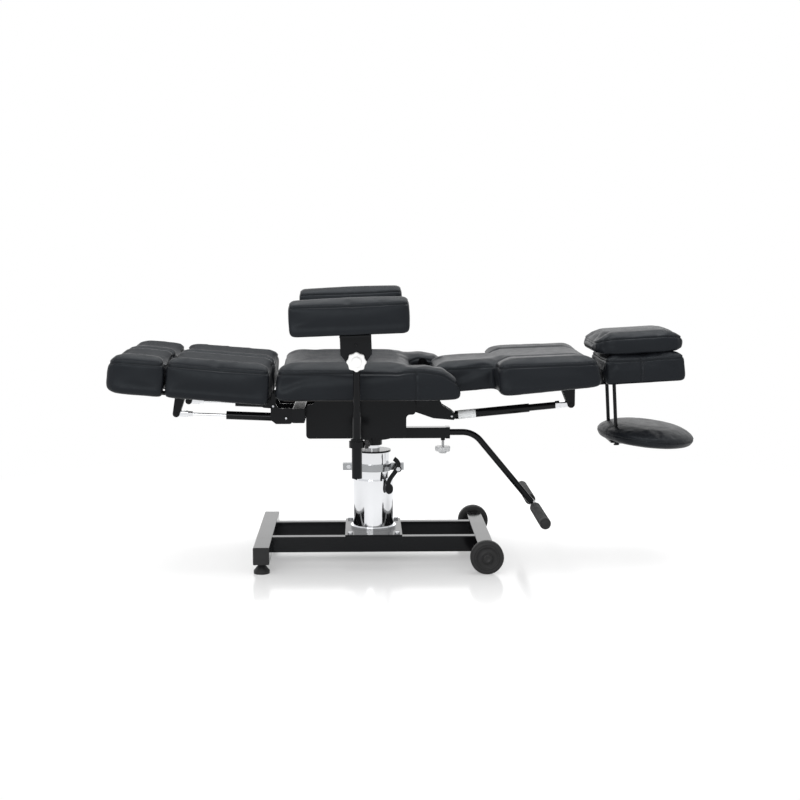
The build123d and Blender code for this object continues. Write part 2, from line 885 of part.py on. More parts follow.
leg_tube_x = (channel_foot_x - cross_tube_wide, channel_foot_x)

ear_step = hinge_plate + side_gap
back_plate_y = back_ear_y + ear_step
back_tube_x = channel_nose_x + cross_tube_wide
back_tube_top = seat_bottom - side_gap
with BuildPart() as cross_tubes:
    for start_x, low, high, half_long in (
        (leg_tube_x[0], cross_tube_low, cross_tube_high, outer_plate_y + cross_tube_past),
        (channel_nose_x, channel_step, back_tube_top, back_plate_y - hinge_plate / 2),
    ):
        tube_x = start_x + cross_tube_wide / 2
        with BuildSketch(upright(column, 0)):
            with Locations((tube_x, (low + high) / 2)):
                RectangleRounded(cross_tube_wide, high - low, bar_round)
        extrude(amount=half_long, both=True)
        with BuildSketch(upright(column, 0)):
            with Locations((tube_x, (low + high) / 2)):
                Rectangle(cross_tube_wide - 2 * tube_wall, high - low - 2 * tube_wall)
        extrude(amount=half_long - tube_wall, both=True, mode=Mode.SUBTRACT)
        ends = ((tube_x, 0, low - overrun), (tube_x, 0, low + 2 * tube_wall))
        add(bar(column, *ends, tube_vent_radius), mode=Mode.SUBTRACT)
save(cross_tubes, "cross_tubes")

pin_left = leg_hinge_x - hinge_barrel_radius
pin_right = leg_hinge_x + 2 * hinge_barrel_radius
seat_spring = (*back_spring_seat, hinge_pin_radius)
with BuildPart() as hinge_plates:
    for side_name, side in sides:
        for plate_y in (outer_plate_y, inner_plate_y):
            add(sheet(
                column,
                side * plate_y,
                hinge_plate,
                [
                    (leg_tube_x[0], cross_tube_low),
                    (leg_tube_x[0], cross_tube_high),
                    (pin_right, cross_tube_high),
                    (leg_hinge_x + hinge_barrel_radius, leg_hinge_z + hinge_barrel_radius),
                    (leg_hinge_x + hinge_barrel_radius, hinge_tongue_top),
                    (leg_hinge_x - hinge_plate, hinge_tongue_top),
                    (pin_left, leg_hinge_z + hinge_barrel_radius),
                    (pin_left, cross_tube_low + hinge_barrel_radius),
                    (pin_left + 2 * hinge_barrel_radius, cross_tube_low - hinge_plate),
                    (leg_tube_x[0] - hinge_barrel_radius, cross_tube_low - hinge_plate),
                ],
                [(leg_hinge_x, leg_hinge_z, hinge_pin_radius), (*leg_spring_seat, hinge_pin_radius)],
            ))
        add(strap(
            column,
            side * back_plate_y,
            hinge_plate,
            (back_tube_x - cross_tube_wide / 2, (channel_step + back_tube_top) / 2),
            (back_hinge_x, back_hinge_z),
            hinge_barrel_radius + hinge_plate,
            [(back_hinge_x, back_hinge_z, hinge_pin_radius)],
        ))
        add(sheet(column, side * spring_plate_half, hinge_plate, [
            (channel_nose_x + overrun, channel_step),
            (back_tube_x, channel_step),
            (back_tube_x, back_tube_top - bar_round),
            (back_tube_x + frame_strap_wide, back_tube_top - bar_round),
            (back_spring_seat[0] - 2.5 * nose_reach, back_spring_seat[1] + 3 * nose_reach),
            (back_spring_seat[0], back_spring_seat[1] + 1.5 * nose_reach),
            (back_spring_seat[0] + back_eye_radius, back_spring_seat[1] + back_eye_radius / 2),
            (back_spring_seat[0] + back_eye_radius, back_spring_seat[1] - back_eye_radius / 2),
            (back_spring_seat[0] + back_eye_radius / 2, back_spring_seat[1] - back_eye_radius),
            (back_spring_seat[0] - 5 * nose_reach, back_spring_seat[1] - back_eye_radius / 2),
            (channel_nose_x + overrun, channel_nose_low),
        ], [seat_spring]))
save(hinge_plates, "hinge_plates")

leg_ears = (outer_plate_y - ear_step, inner_plate_y + ear_step)
with BuildPart() as hinge_pins:
    for side_name, side in sides:
        for x, z, head_y, tail_y in (
            (leg_hinge_x, leg_hinge_z, outer_plate_y + hinge_plate / 2, leg_ears[0] - hinge_plate / 2),
            (leg_hinge_x, leg_hinge_z, inner_plate_y - hinge_plate / 2, leg_ears[1] + hinge_plate / 2),
            (back_hinge_x, back_hinge_z, back_plate_y + hinge_plate / 2, back_ear_y - hinge_plate / 2),
            (*leg_spring_seat, outer_plate_y + hinge_plate / 2, leg_spring_y - eye_half_thick - side_gap),
        ):
            add(bar(column, (x, side * head_y, z), (x, side * tail_y, z), hinge_pin_radius))
            cap_y = head_y + (hinge_plate / 2 if head_y > tail_y else -hinge_plate / 2)
            add(bar(column, (x, side * head_y, z), (x, side * cap_y, z), pin_head_radius))
    for x, z, half in (
        (*back_spring_seat, spring_plate_half + hinge_plate / 2),
        (pedal_pivot_x, pedal_pin_z, pedal_slot_half + hinge_plate),
    ):
        add(bar(column, (x, -half, z), (x, half, z), hinge_pin_radius))
        for side_name, side in sides:
            add(bar(column, (x, side * half, z), (x, side * (half + hinge_plate / 2), z), pin_head_radius))
save(hinge_pins, "hinge_pins")

board = (
    (seat_foot_x + seat_board_inset, -seat_half_wide + seat_board_inset, seat_bottom),
    (seat_main_x - seat_board_inset, seat_half_wide - seat_board_inset, seat_bottom + seat_board_thick),
)
with BuildPart() as seat_board:
    add(block(column, *board))
save(seat_board, "seat_board")

horn_half_wide = (seat_half_wide - notch_half_wide) / 2
horn_section = (horn_half_wide, seat_bottom, seat_crest, -horn_crown, seat_shoulder)
main_section = (seat_half_wide, seat_bottom, seat_crest, seat_dish, seat_shoulder)
with BuildPart() as seat_pad:
    add(cushion(
        column,
        0,
        [(seat_foot_x, *main_section), (seat_main_x, *main_section)],
        [seat_foot_roll, seat_notch_roll],
    ))
    for side_name, side in sides:
        add(cushion(
            column,
            side * (notch_half_wide + horn_half_wide),
            [(seat_main_x - seat_shoulder, *horn_section), (seat_horn_x, *horn_section)],
            [horn_root_roll, horn_tip_roll],
        ))
    add(block(column, *board), mode=Mode.SUBTRACT)
save(seat_pad, "seat_pad")

with BuildPart() as arm_brackets:
    for side_name, side in sides:
        span = sorted((side * channel_half_wide, side * arm_y))
        screw_z = (arm_collar_low + arm_collar_high) / 2
        ends = [(arm_x, side * arm_y, level) for level in (arm_collar_low, arm_collar_high)]
        add(bar(column, *ends, arm_collar_radius))
        add(block(
            column,
            (arm_x - arm_bar_wide / 2, span[0], arm_collar_low + hinge_plate),
            (arm_x + arm_bar_wide / 2, span[1], arm_collar_high),
        ))
        add(bar(
            column,
            (arm_x, side * arm_y, arm_collar_low - overrun),
            (arm_x, side * arm_y, arm_collar_high + overrun),
            arm_sleeve_radius + running_gap,
        ), mode=Mode.SUBTRACT)
        add(bar(
            column,
            (arm_x, side * arm_y, screw_z),
            (arm_x + 2 * arm_collar_radius, side * arm_y, screw_z),
            small_screw + running_gap,
        ), mode=Mode.SUBTRACT)
save(arm_brackets, "arm_brackets")

# Pump lever

with BuildPart() as pedal_socket:
    socket_start_x = pedal_pivot_x - socket_half
    clamp_top = pedal_z - socket_half + socket_wall
    with BuildSketch(across(column, socket_start_x)):
        with Locations((0, pedal_z)):
            Rectangle(2 * socket_half, 2 * socket_half)
            Rectangle(2 * (socket_half - socket_wall), 2 * (socket_half - socket_wall), mode=Mode.SUBTRACT)
    extrude(amount=socket_end_x - socket_start_x)
    with BuildSketch(across(column, socket_end_x)):
        with Locations((0, pedal_z)):
            Rectangle(2 * (socket_half + collar_grow), 2 * (socket_half + collar_grow))
    extrude(amount=-collar_long)
    with BuildSketch(across(column, socket_end_x)):
        with Locations((0, pedal_z)):
            Circle(pedal_radius + running_gap)
    extrude(amount=-collar_long, mode=Mode.SUBTRACT)
    add(bar(column, (clamp_screw_x, 0, clamp_boss_low), (clamp_screw_x, 0, clamp_top), clamp_boss_radius))
    add(bar(
        column,
        (clamp_screw_x, 0, clamp_boss_low - overrun),
        (clamp_screw_x, 0, clamp_top + overrun),
        clamp_stem_radius + running_gap,
    ), mode=Mode.SUBTRACT)
    add(bar(
        column,
        (pedal_pivot_x, -socket_half - overrun, pedal_pin_z),
        (pedal_pivot_x, socket_half + overrun, pedal_pin_z),
        hinge_pin_radius + running_gap,
    ), mode=Mode.SUBTRACT)
save(pedal_socket, "pedal_socket")

with BuildPart() as pedal_knob:
    stem_top = pedal_z - pedal_radius - side_gap
    add(star(
        Plane(origin=column.from_local_coords((clamp_screw_x, 0, clamp_knob_high)), z_dir=(0, 0, -1)),
        clamp_knob_radius,
        clamp_knob_high - clamp_knob_low,
        star_lobes,
    ))
    add(bar(column, (clamp_screw_x, 0, clamp_knob_high), (clamp_screw_x, 0, stem_top), clamp_stem_radius))
save(pedal_knob, "pedal_knob")

with BuildPart() as pedal_tube:
    with BuildLine(upright(column, 0)) as pedal_path:
        FilletPolyline((pedal_tail_x, pedal_z), (pedal_bend_x, pedal_z), pedal_end, radius=pedal_bend_radius)
    with BuildSketch(across(column, pedal_tail_x)):
        with Locations((0, pedal_z)):
            Circle(pedal_radius)
    sweep(path=pedal_path.line)
    add(bar(
        column,
        (pedal_tail_x, 0, pedal_z),
        (pedal_tail_x + collar_long, 0, pedal_z),
        socket_half - socket_wall - side_gap,
    ))
    add(bar(
        column,
        (pedal_end[0], -pedal_bar_half, pedal_end[1]),
        (pedal_end[0], pedal_bar_half, pedal_end[1]),
        pedal_bar_radius,
    ))
save(pedal_tube, "pedal_tube")

with BuildPart() as pedal_grips:
    for side_name, side in sides:
        with BuildSketch(Plane(
            origin=column.from_local_coords((pedal_end[0], 0, pedal_end[1])),
            x_dir=(0, side, 0),
            z_dir=(-side, 0, 0),
        )):
            with BuildLine():
                Polyline(
                    (grip_start, pedal_bar_radius),
                    (grip_start, grip_radius - grip_round),
                    (grip_start + grip_round, grip_radius),
                    (grip_end - 2 * grip_round, grip_radius),
                    (grip_end, grip_radius - 2 * grip_round),
                    (grip_end, 0),
                    (pedal_bar_half, 0),
                    (pedal_bar_half, pedal_bar_radius),
                    close=True,
                )
            make_face()
        revolve(axis=Axis(column.from_local_coords((pedal_end[0], 0, pedal_end[1])), (0, 1, 0)))
save(pedal_grips, "pedal_grips")

# Legs

leg = tilted(leg_hinge_x, leg_hinge_z, -leg_tilt)
pocket_top = leg_pad_low + leg_pocket
guide_z = leg_pad_low + guide_radius
ear_root = frame_strap_wide
pad_section_sizes = (leg_wide / 2, leg_pad_low, leg_pad_top, leg_dish, leg_shoulder)
lug_x = local_of(leg, *leg_spring_foot)[0]
for side_name, side in sides:
    middle = side * leg_middle_y
    guides = (middle - guide_half_spacing, middle + guide_half_spacing)
    frame_span = (guides[0] - guide_radius, guides[1] + guide_radius)

    with BuildPart() as calf_frame:
        for guide_y in guides:
            ends = ((-calf_end + guide_radius, guide_y, guide_z), (-ear_root, guide_y, guide_z))
            add(bar(leg, *ends, guide_radius))
        for strap_x in (-ear_root, -calf_end / 2, lug_x + frame_strap_wide):
            add(block(
                leg,
                (strap_x - frame_strap_wide, frame_span[0], pocket_top - frame_strap),
                (strap_x, frame_span[1], pocket_top),
            ))
        for guide_y in guides:
            ends = ((-calf_end, guide_y, guide_z), (0, guide_y, guide_z))
            add(bar(leg, *ends, guide_rod_radius + running_gap), mode=Mode.SUBTRACT)
        for ear_y in leg_ears:
            add(sheet(leg, side * ear_y, hinge_plate, [
                (-2 * ear_root, pocket_top),
                (-ear_root, pocket_top),
                (-ear_root, leg_pad_low - side_gap),
                (hinge_barrel_radius, leg_pad_low - side_gap),
                (hinge_barrel_radius, -hinge_barrel_radius),
                (-ear_root, -hinge_barrel_radius),
                (-2 * ear_root, leg_pad_low),
            ], [(0, 0, hinge_pin_radius + running_gap)]))
        add(spring_lug(
            leg,
            side * leg_spring_y,
            leg_spring_foot,
            eye_radius,
            lug_x - eye_radius / 2,
            lug_x + frame_strap_wide,
            pocket_top,
            leg_end_half_thick,
        ))
    save(calf_frame, f"calf_frame_{side_name}")

    with BuildPart() as calf_pad:
        add(cushion(
            leg,
            middle,
            [(-calf_end, *pad_section_sizes), (-calf_start, *pad_section_sizes)],
            [leg_joint_roll, leg_joint_roll],
        ))
        add(block(
            leg,
            (-calf_end - overrun, middle - leg_pocket_half, leg_pad_low - overrun),
            (-leg_pocket_inset, middle + leg_pocket_half, pocket_top),
        ), mode=Mode.SUBTRACT)
    save(calf_pad, f"calf_pad_{side_name}")

    with BuildPart() as foot_frame:
        for guide_y in guides:
            rod_ends = (-foot_end + 2 * leg_pocket_inset, -calf_end + foot_slide_travel + guide_kept_long)
            add(bar(leg, *((end_x, guide_y, guide_z) for end_x in rod_ends), guide_rod_radius))
        for strap_x in (-foot_start - frame_strap_wide, -foot_end + leg_pocket_inset + 2 * frame_strap_wide):
            add(block(
                leg,
                (strap_x - frame_strap_wide, frame_span[0], pocket_top - frame_strap),
                (strap_x, frame_span[1], pocket_top),
            ))
    save(foot_frame, f"foot_frame_{side_name}")

    with BuildPart() as foot_pad:
        add(cushion(
            leg,
            middle,
            [(-foot_end, *pad_section_sizes), (-foot_start, *pad_section_sizes)],
            [leg_foot_roll, leg_joint_roll],
        ))
        add(block(
            leg,
            (-foot_end + leg_pocket_inset, middle - leg_pocket_half, leg_pad_low - overrun),
            (-foot_start + overrun, middle + leg_pocket_half, pocket_top),
        ), mode=Mode.SUBTRACT)
    save(foot_pad, f"foot_pad_{side_name}")

    with BuildPart() as leg_spring_tube:
        add(gas_tube(
            side * leg_spring_y,
            leg_spring_seat,
            leg_spring_foot,
            leg_tube_radius,
            leg_tube_long,
            leg_rod_radius,
            eye_radius,
        ))
    save(leg_spring_tube, f"leg_spring_tube_{side_name}")

    with BuildPart() as leg_spring_rod:
        add(gas_rod(
            side * leg_spring_y,
            leg_spring_seat,
            leg_spring_foot,
            leg_tube_radius,
            leg_rod_radius,
            leg_tube_long - spring_guide - 2 * piston_long,
            leg_end_half_thick,
        ))
    save(leg_spring_rod, f"leg_spring_rod_{side_name}")

# Back

back = tilted(back_hinge_x, back_hinge_z, back_tilt)
head_place = local_of(back, head_hinge_x, head_hinge_z)
lug_place = local_of(back, *back_spring_head)
pocket_ceiling = back_pad_low + back_pocket
tube_low = pocket_ceiling - frame_tube
tube_middle = pocket_ceiling - frame_tube / 2
front_tube = (2 * frame_tube, 3 * frame_tube)
rear_tube = (lug_place[0] - frame_tube, lug_place[0])
head_ear_y = frame_tube_y + ear_step
with BuildPart() as back_frame:
    for side_name, side in sides:
        with BuildSketch(across(back, front_tube[0])):
            with Locations((side * frame_tube_y, tube_middle)):
                Rectangle(frame_tube, frame_tube)
                Rectangle(frame_tube - 2 * tube_wall, frame_tube - 2 * tube_wall, mode=Mode.SUBTRACT)
        extrude(amount=wing_end - tube_wall - front_tube[0])
        add(strap(
            back,
            side * back_ear_y,
            hinge_plate,
            (0, 0),
            ((front_tube[0] + front_tube[1]) / 2, tube_middle),
            back_ear_half_wide,
        ))
        add(strap(
            back,
            side * frame_tube_y,
            hinge_plate,
            (wing_end - 2 * frame_tube, tube_middle),
            head_place,
            hinge_barrel_radius,
        ))
        end_x = (wing_end - 2 * tube_wall, wing_end - tube_wall)
        span = sorted(side * (frame_tube_y + way * frame_tube / 2) for way in (-1, 1))
        add(block(back, (end_x[0], span[0], tube_low), (end_x[1], span[1], pocket_ceiling)))
        stub_ends = (frame_tube_y, head_ear_y + hinge_plate / 2)
        stub = [(head_place[0], side * stub_y, head_place[1]) for stub_y in stub_ends]
        add(bar(back, *stub, hinge_pin_radius))
    for low_x, high_x in (front_tube, rear_tube):
        reach = back_ear_y - hinge_plate / 2 if low_x == front_tube[0] else frame_tube_y
        add(block(back, (low_x, -reach, tube_low), (high_x, reach, pocket_ceiling)))
    for side_name, side in sides:
        ends = ((0, side * (back_ear_y - hinge_plate), 0), (0, side * (back_ear_y + hinge_plate), 0))
        add(bar(back, *ends, hinge_pin_radius + running_gap), mode=Mode.SUBTRACT)
    add(spring_lug(
        back,
        0,
        back_spring_head,
        back_eye_radius,
        rear_tube[0] - frame_tube,
        rear_tube[1] + frame_tube,
        tube_low + overrun,
        back_end_half_thick,
    ))
save(back_frame, "back_frame")

spine = (spine_half_wide, spine_low)
with BuildPart() as back_pad:
    add(cushion(
        back,
        0,
        [
            (spine_start, *spine, spine_top_front, back_dish, back_shoulder),
            (spine_end, *spine, spine_top_rear, back_dish, back_shoulder),
        ],
        [spine_roll, spine_roll],
    ))
    add(cushion(
        back,
        0,
        [
            (wing_start, wing_half_wide, back_pad_low, wing_top_front, back_dish, back_shoulder),
            (wing_end, wing_half_wide, back_pad_low + wing_thin, wing_top_rear, back_dish, back_shoulder),
        ],
        [wing_roll, wing_roll],
    ))
    for low_x, high_x, half in (
        (front_tube[0], wing_end + overrun, back_pocket_half),
        (*front_tube, wing_half_wide),
    ):
        room = block(back, (low_x, -half, back_pad_low - overrun), (high_x, half, pocket_ceiling))
        add(room, mode=Mode.SUBTRACT)
save(back_pad, "back_pad")

with BuildPart() as back_spring_tube:
    add(gas_tube(
        0,
        back_spring_seat,
        back_spring_head,
        back_tube_radius,
        back_tube_long,
        back_rod_radius,
        back_eye_radius,
    ))
save(back_spring_tube, "back_spring_tube")

with BuildPart() as back_spring_rod:
    add(gas_rod(
        0,
        back_spring_seat,
        back_spring_head,
        back_tube_radius,
        back_rod_radius,
        2 * back_eye_radius + piston_long,
        back_end_half_thick,
    ))
save(back_spring_rod, "back_spring_rod")

# Head section

head = tilted(head_hinge_x, head_hinge_z, head_tilt)
plate_start = head_start - 2 * hinge_barrel_radius + overrun
plate_half_wide = head_ear_y + hinge_plate
with BuildPart() as head_frame:
    add(block(
        head,
        (plate_start, -plate_half_wide, head_low),
        (head_start + head_plate_long, plate_half_wide, head_low + head_plate),
    ))
    for side_name, side in sides:
        rod_y = side * shelf_rod_y
        add(sheet(head, side * head_ear_y, hinge_plate, [
            (-hinge_barrel_radius, 0),
            (-hinge_barrel_radius / 2, hinge_barrel_radius),
            (hinge_barrel_radius, hinge_barrel_radius),
            (head_start - side_gap, 0),
            (head_start - side_gap, head_low),
            (plate_start, head_low),
        ], [(0, 0, hinge_pin_radius + running_gap)]))
        add(bar(head, (shelf_rod_x, rod_y, head_low), (shelf_rod_x, rod_y, shelf_rod_up), socket_radius))
        add(bar(
            head,
            (shelf_rod_x, rod_y, head_low - overrun),
            (shelf_rod_x, rod_y, shelf_rod_up + overrun),
            shelf_rod_radius + running_gap,
        ), mode=Mode.SUBTRACT)
save(head_frame, "head_frame")

head_section = (head_half_wide, head_low, head_top, head_dish, head_shoulder)
with BuildPart() as head_pad:
    add(cushion(
        head,
        0,
        [(head_start, *head_section), (head_end, *head_section)],
        [head_roll, head_roll],
    ))
    add(block(
        head,
        (head_start - overrun, -plate_half_wide, head_low - overrun),
        (head_start + head_plate_long, plate_half_wide, head_low + head_plate),
    ), mode=Mode.SUBTRACT)
    for side_name, side in sides:
        rod_y = side * shelf_rod_y
        ends = ((shelf_rod_x, rod_y, head_low), (shelf_rod_x, rod_y, shelf_rod_up))
        add(bar(head, *ends, socket_radius), mode=Mode.SUBTRACT)
save(head_pad, "head_pad")

pillow_shape = (pillow_top, -pillow_crown, pillow_shoulder)
pillow_low = head_top + side_gap
with BuildPart() as pillow:
    add(cushion(
        head,
        0,
        [
            (pillow_start, pillow_half_wide, pillow_low, *pillow_shape),
            (pillow_end, pillow_half_wide, pillow_low, *pillow_shape),
        ],
        [pillow_nose_roll, pillow_tail_roll],
    ))
save(pillow, "pillow")

shelf = tilted(*shelf_centre, -shelf_pitch)
shelf_place = local_of(head, *shelf_centre)
shelf_rise = (shelf_place[0] - shelf_rod_x) * tan(radians(head_tilt + shelf_pitch))
rod_foot = shelf_place[1] + shelf_rise - shelf_thick / 2 - 3 * head_plate
with BuildPart() as shelf_rods:
    for side_name, side in sides:
        rod_y = side * shelf_rod_y
        rod_pieces = ((shelf_rod_up - overrun, shelf_rod_radius), (rod_foot + head_plate, socket_radius))
        for rod_top, radius in rod_pieces:
            add(bar(head, (shelf_rod_x, rod_y, rod_foot), (shelf_rod_x, rod_y, rod_top), radius))
    plate_y = shelf_rod_y + 2 * socket_radius
    add(block(
        shelf,
        (shelf_rod_x - shelf_place[0] - 2 * socket_radius, -plate_y, -shelf_thick / 2 - head_plate),
        (0, plate_y, -shelf_thick / 2),
    ))
save(shelf_rods, "shelf_rods")

dome_shares = ((-0.5, 0.84), (-0.4, 0.95), (-0.15, 1.0), (0.1, 0.98), (0.3, 0.86), (0.42, 0.68), (0.5, 0.42))
with BuildPart() as shelf_pad:
    for level_share, size_share in dome_shares:
        with BuildSketch(shelf.offset(level_share * shelf_thick)):
            Ellipse(size_share * shelf_half_long, size_share * shelf_half_wide)
    loft(ruled=True)
    for side_name, side in sides:
        rod_y = side * shelf_rod_y
        ends = ((shelf_rod_x, rod_y, rod_foot), (shelf_rod_x, rod_y, head_low))
        add(bar(head, *ends, shelf_rod_radius), mode=Mode.SUBTRACT)
save(shelf_pad, "shelf_pad")

# Armrests

arm = tilted(arm_x, tilt_z, arm_tilt)
plate_z = arm_plate_high
plate_half = arm_plate_wide / 2
plate_y = arm_y + post_neck_radius + side_gap + arm_plate_thick / 2
knob_y = plate_y + arm_plate_thick / 2 + side_gap
screw_z = (arm_collar_low + arm_collar_high) / 2
knob_x = arm_x + arm_collar_radius + side_gap
arm_pad_inner = arm_y - arm_pad_inset
arm_section = (arm_pad_wide / 2, plate_z, plate_z + arm_pad_high, -arm_pad_crown, arm_pad_shoulder)
for side_name, side in sides:
    with BuildPart() as arm_sleeve:
        for low, high, radius in (
            (arm_sleeve_low, arm_sleeve_high, arm_sleeve_radius),
            (arm_collar_high + side_gap, arm_collar_high + side_gap + hinge_plate, arm_flange_radius),
        ):
            add(bar(column, (arm_x, side * arm_y, low), (arm_x, side * arm_y, high), radius))
        levels = (arm_sleeve_low - overrun, arm_sleeve_high + 2 * hinge_plate)
        ends = [(arm_x, side * arm_y, level) for level in levels]
        add(bar(column, *ends, post_radius + running_gap), mode=Mode.SUBTRACT)
    save(arm_sleeve, f"arm_sleeve_{side_name}")

    with BuildPart() as arm_post:
        foot = column.from_local_coords((arm_x, side * arm_y, 0))
        with BuildSketch(Plane(origin=foot, x_dir=column.x_dir, z_dir=-column.y_dir)):
            with BuildLine():
                Polyline(
                    (0, post_low),
                    (post_radius, post_low),
                    (post_radius, post_step),
                    (post_neck_radius, post_step + arm_plate_thick * 3),
                    (post_neck_radius, post_top),
                    (0, post_top),
                    close=True,
                )
            make_face()
        revolve(axis=Axis(foot, column.z_dir))
        ends = [(arm_x, side * (arm_y + way * 2 * post_radius), tilt_z) for way in (-1, 1)]
        add(bar(column, *ends, star_screw + running_gap), mode=Mode.SUBTRACT)
    save(arm_post, f"arm_post_{side_name}")

    with BuildPart() as arm_plate:
        flange_out = arm_pad_inner + arm_pad_wide - 2 * arm_plate_thick
        flange = sorted((side * (plate_y - arm_plate_thick / 2), side * flange_out))
        with BuildSketch(upright(arm, side * plate_y)):
            with BuildLine():
                Polyline(
                    (-plate_half, plate_z),
                    (plate_half, plate_z),
                    (plate_half, arm_plate_round),
                    (arm_plate_round, -arm_plate_round / 2),
                    (-arm_plate_round, -arm_plate_round / 2),
                    (-plate_half, arm_plate_round),
                    close=True,
                )
            make_face()
            Circle(arm_plate_round)
            Circle(star_screw + running_gap, mode=Mode.SUBTRACT)
        extrude(amount=arm_plate_thick / 2, both=True)
        add(block(
            arm,
            (-plate_half, flange[0], plate_z - arm_plate_thick),
            (plate_half, flange[1], plate_z),
        ))
    save(arm_plate, f"arm_plate_{side_name}")

    with BuildPart() as arm_pad:
        add(cushion(
            arm,
            side * (arm_pad_inner + arm_pad_wide / 2),
            [(arm_pad_foot - arm_x, *arm_section), (arm_pad_head - arm_x, *arm_section)],
            [arm_roll, arm_roll],
        ))
    save(arm_pad, f"arm_pad_{side_name}")

    with BuildPart() as tilt_knob:
        knob_place = column.from_local_coords((arm_x, side * knob_y, tilt_z))
        knob_plane = Plane(origin=knob_place, x_dir=(1, 0, 0), z_dir=(0, side, 0))
        add(star(knob_plane, star_radius, star_thick, star_lobes))
        ends = ((arm_x, side * (arm_y - post_neck_radius), tilt_z), (arm_x, side * knob_y, tilt_z))
        add(bar(column, *ends, star_screw))
    save(tilt_knob, f"tilt_knob_{side_name}")

    with BuildPart() as height_knob:
        knob_place = column.from_local_coords((knob_x, side * arm_y, screw_z))
        add(star(
            Plane(origin=knob_place, x_dir=(0, 1, 0), z_dir=(1, 0, 0)),
            small_star_radius,
            small_star_thick,
            star_lobes,
        ))
        screw_tip_x = arm_x + arm_sleeve_radius + side_gap
        ends = ((screw_tip_x, side * arm_y, screw_z), (knob_x, side * arm_y, screw_z))
        add(bar(column, *ends, small_screw))
    save(height_knob, f"height_knob_{side_name}")
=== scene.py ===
import json
import math

import bmesh
import bpy
import numpy as np
from mathutils import Matrix, Vector


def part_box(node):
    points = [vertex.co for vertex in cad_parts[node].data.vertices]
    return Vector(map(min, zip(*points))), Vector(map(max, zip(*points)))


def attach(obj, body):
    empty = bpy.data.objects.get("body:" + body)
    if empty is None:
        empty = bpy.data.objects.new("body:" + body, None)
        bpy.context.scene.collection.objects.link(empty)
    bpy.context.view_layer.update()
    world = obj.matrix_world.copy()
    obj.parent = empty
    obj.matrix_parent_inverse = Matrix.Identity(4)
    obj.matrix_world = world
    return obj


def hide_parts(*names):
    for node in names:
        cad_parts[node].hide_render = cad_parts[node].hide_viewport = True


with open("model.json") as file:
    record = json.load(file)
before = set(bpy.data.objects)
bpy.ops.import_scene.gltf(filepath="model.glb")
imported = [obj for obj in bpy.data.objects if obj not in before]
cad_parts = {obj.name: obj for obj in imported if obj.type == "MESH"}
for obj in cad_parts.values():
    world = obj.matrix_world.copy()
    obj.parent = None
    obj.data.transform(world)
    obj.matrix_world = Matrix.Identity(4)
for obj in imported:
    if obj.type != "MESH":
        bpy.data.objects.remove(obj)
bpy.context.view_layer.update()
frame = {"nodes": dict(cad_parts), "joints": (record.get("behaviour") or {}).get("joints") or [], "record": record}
nodes = frame["nodes"]
record = frame["record"]
jointAt = {j["name"]: Vector(j["pos_m"]) for j in frame["joints"] if "pos_m" in j}
columnX = jointAt["seat_swivel"].x
sides = (("near", -1), ("far", 1))
threadLine = 0.0055  # how far above a seam its stitches run


# Shader building

class Wire:
    def __init__(self, board, socket):
        self.board = board
        self.socket = socket

    def maths(self, operation, first, second):
        return self.board.node("ShaderNodeMath", {"operation": operation}, first, second)

    def __add__(self, other):
        return self.maths("ADD", self, other)

    def __radd__(self, other):
        return self.maths("ADD", other, self)

    def __sub__(self, other):
        return self.maths("SUBTRACT", self, other)

    def __rsub__(self, other):
        return self.maths("SUBTRACT", other, self)

    def __mul__(self, other):
        return self.maths("MULTIPLY", self, other)

    def __rmul__(self, other):
        return self.maths("MULTIPLY", other, self)

    def __abs__(self):
        return self.maths("ABSOLUTE", self, None)

    def larger(self, other):
        return self.maths("MAXIMUM", self, other)

    def step(self, low, high, first=0.0, last=1.0):
        return self.board.node("ShaderNodeMapRange", {"clamp": True}, self, low, high, first, last)


class Board:
    def __init__(self, tree):
        self.tree = tree

    def node(self, kind, settings, *inputs, out=0, **named):
        made = self.tree.nodes.new(kind)
        for key, value in settings.items():
            setattr(made, key, value)
        for socket, value in zip(made.inputs, inputs):
            self.feed(socket, value)
        for key, value in named.items():
            self.feed(made.inputs[key], value)
        return Wire(self, made.outputs[out])

    def feed(self, socket, value):
        if isinstance(value, Wire):
            self.tree.links.new(value.socket, socket)
        elif value is not None:
            socket.default_value = (*value, 1.0) if socket.type == "RGBA" else value


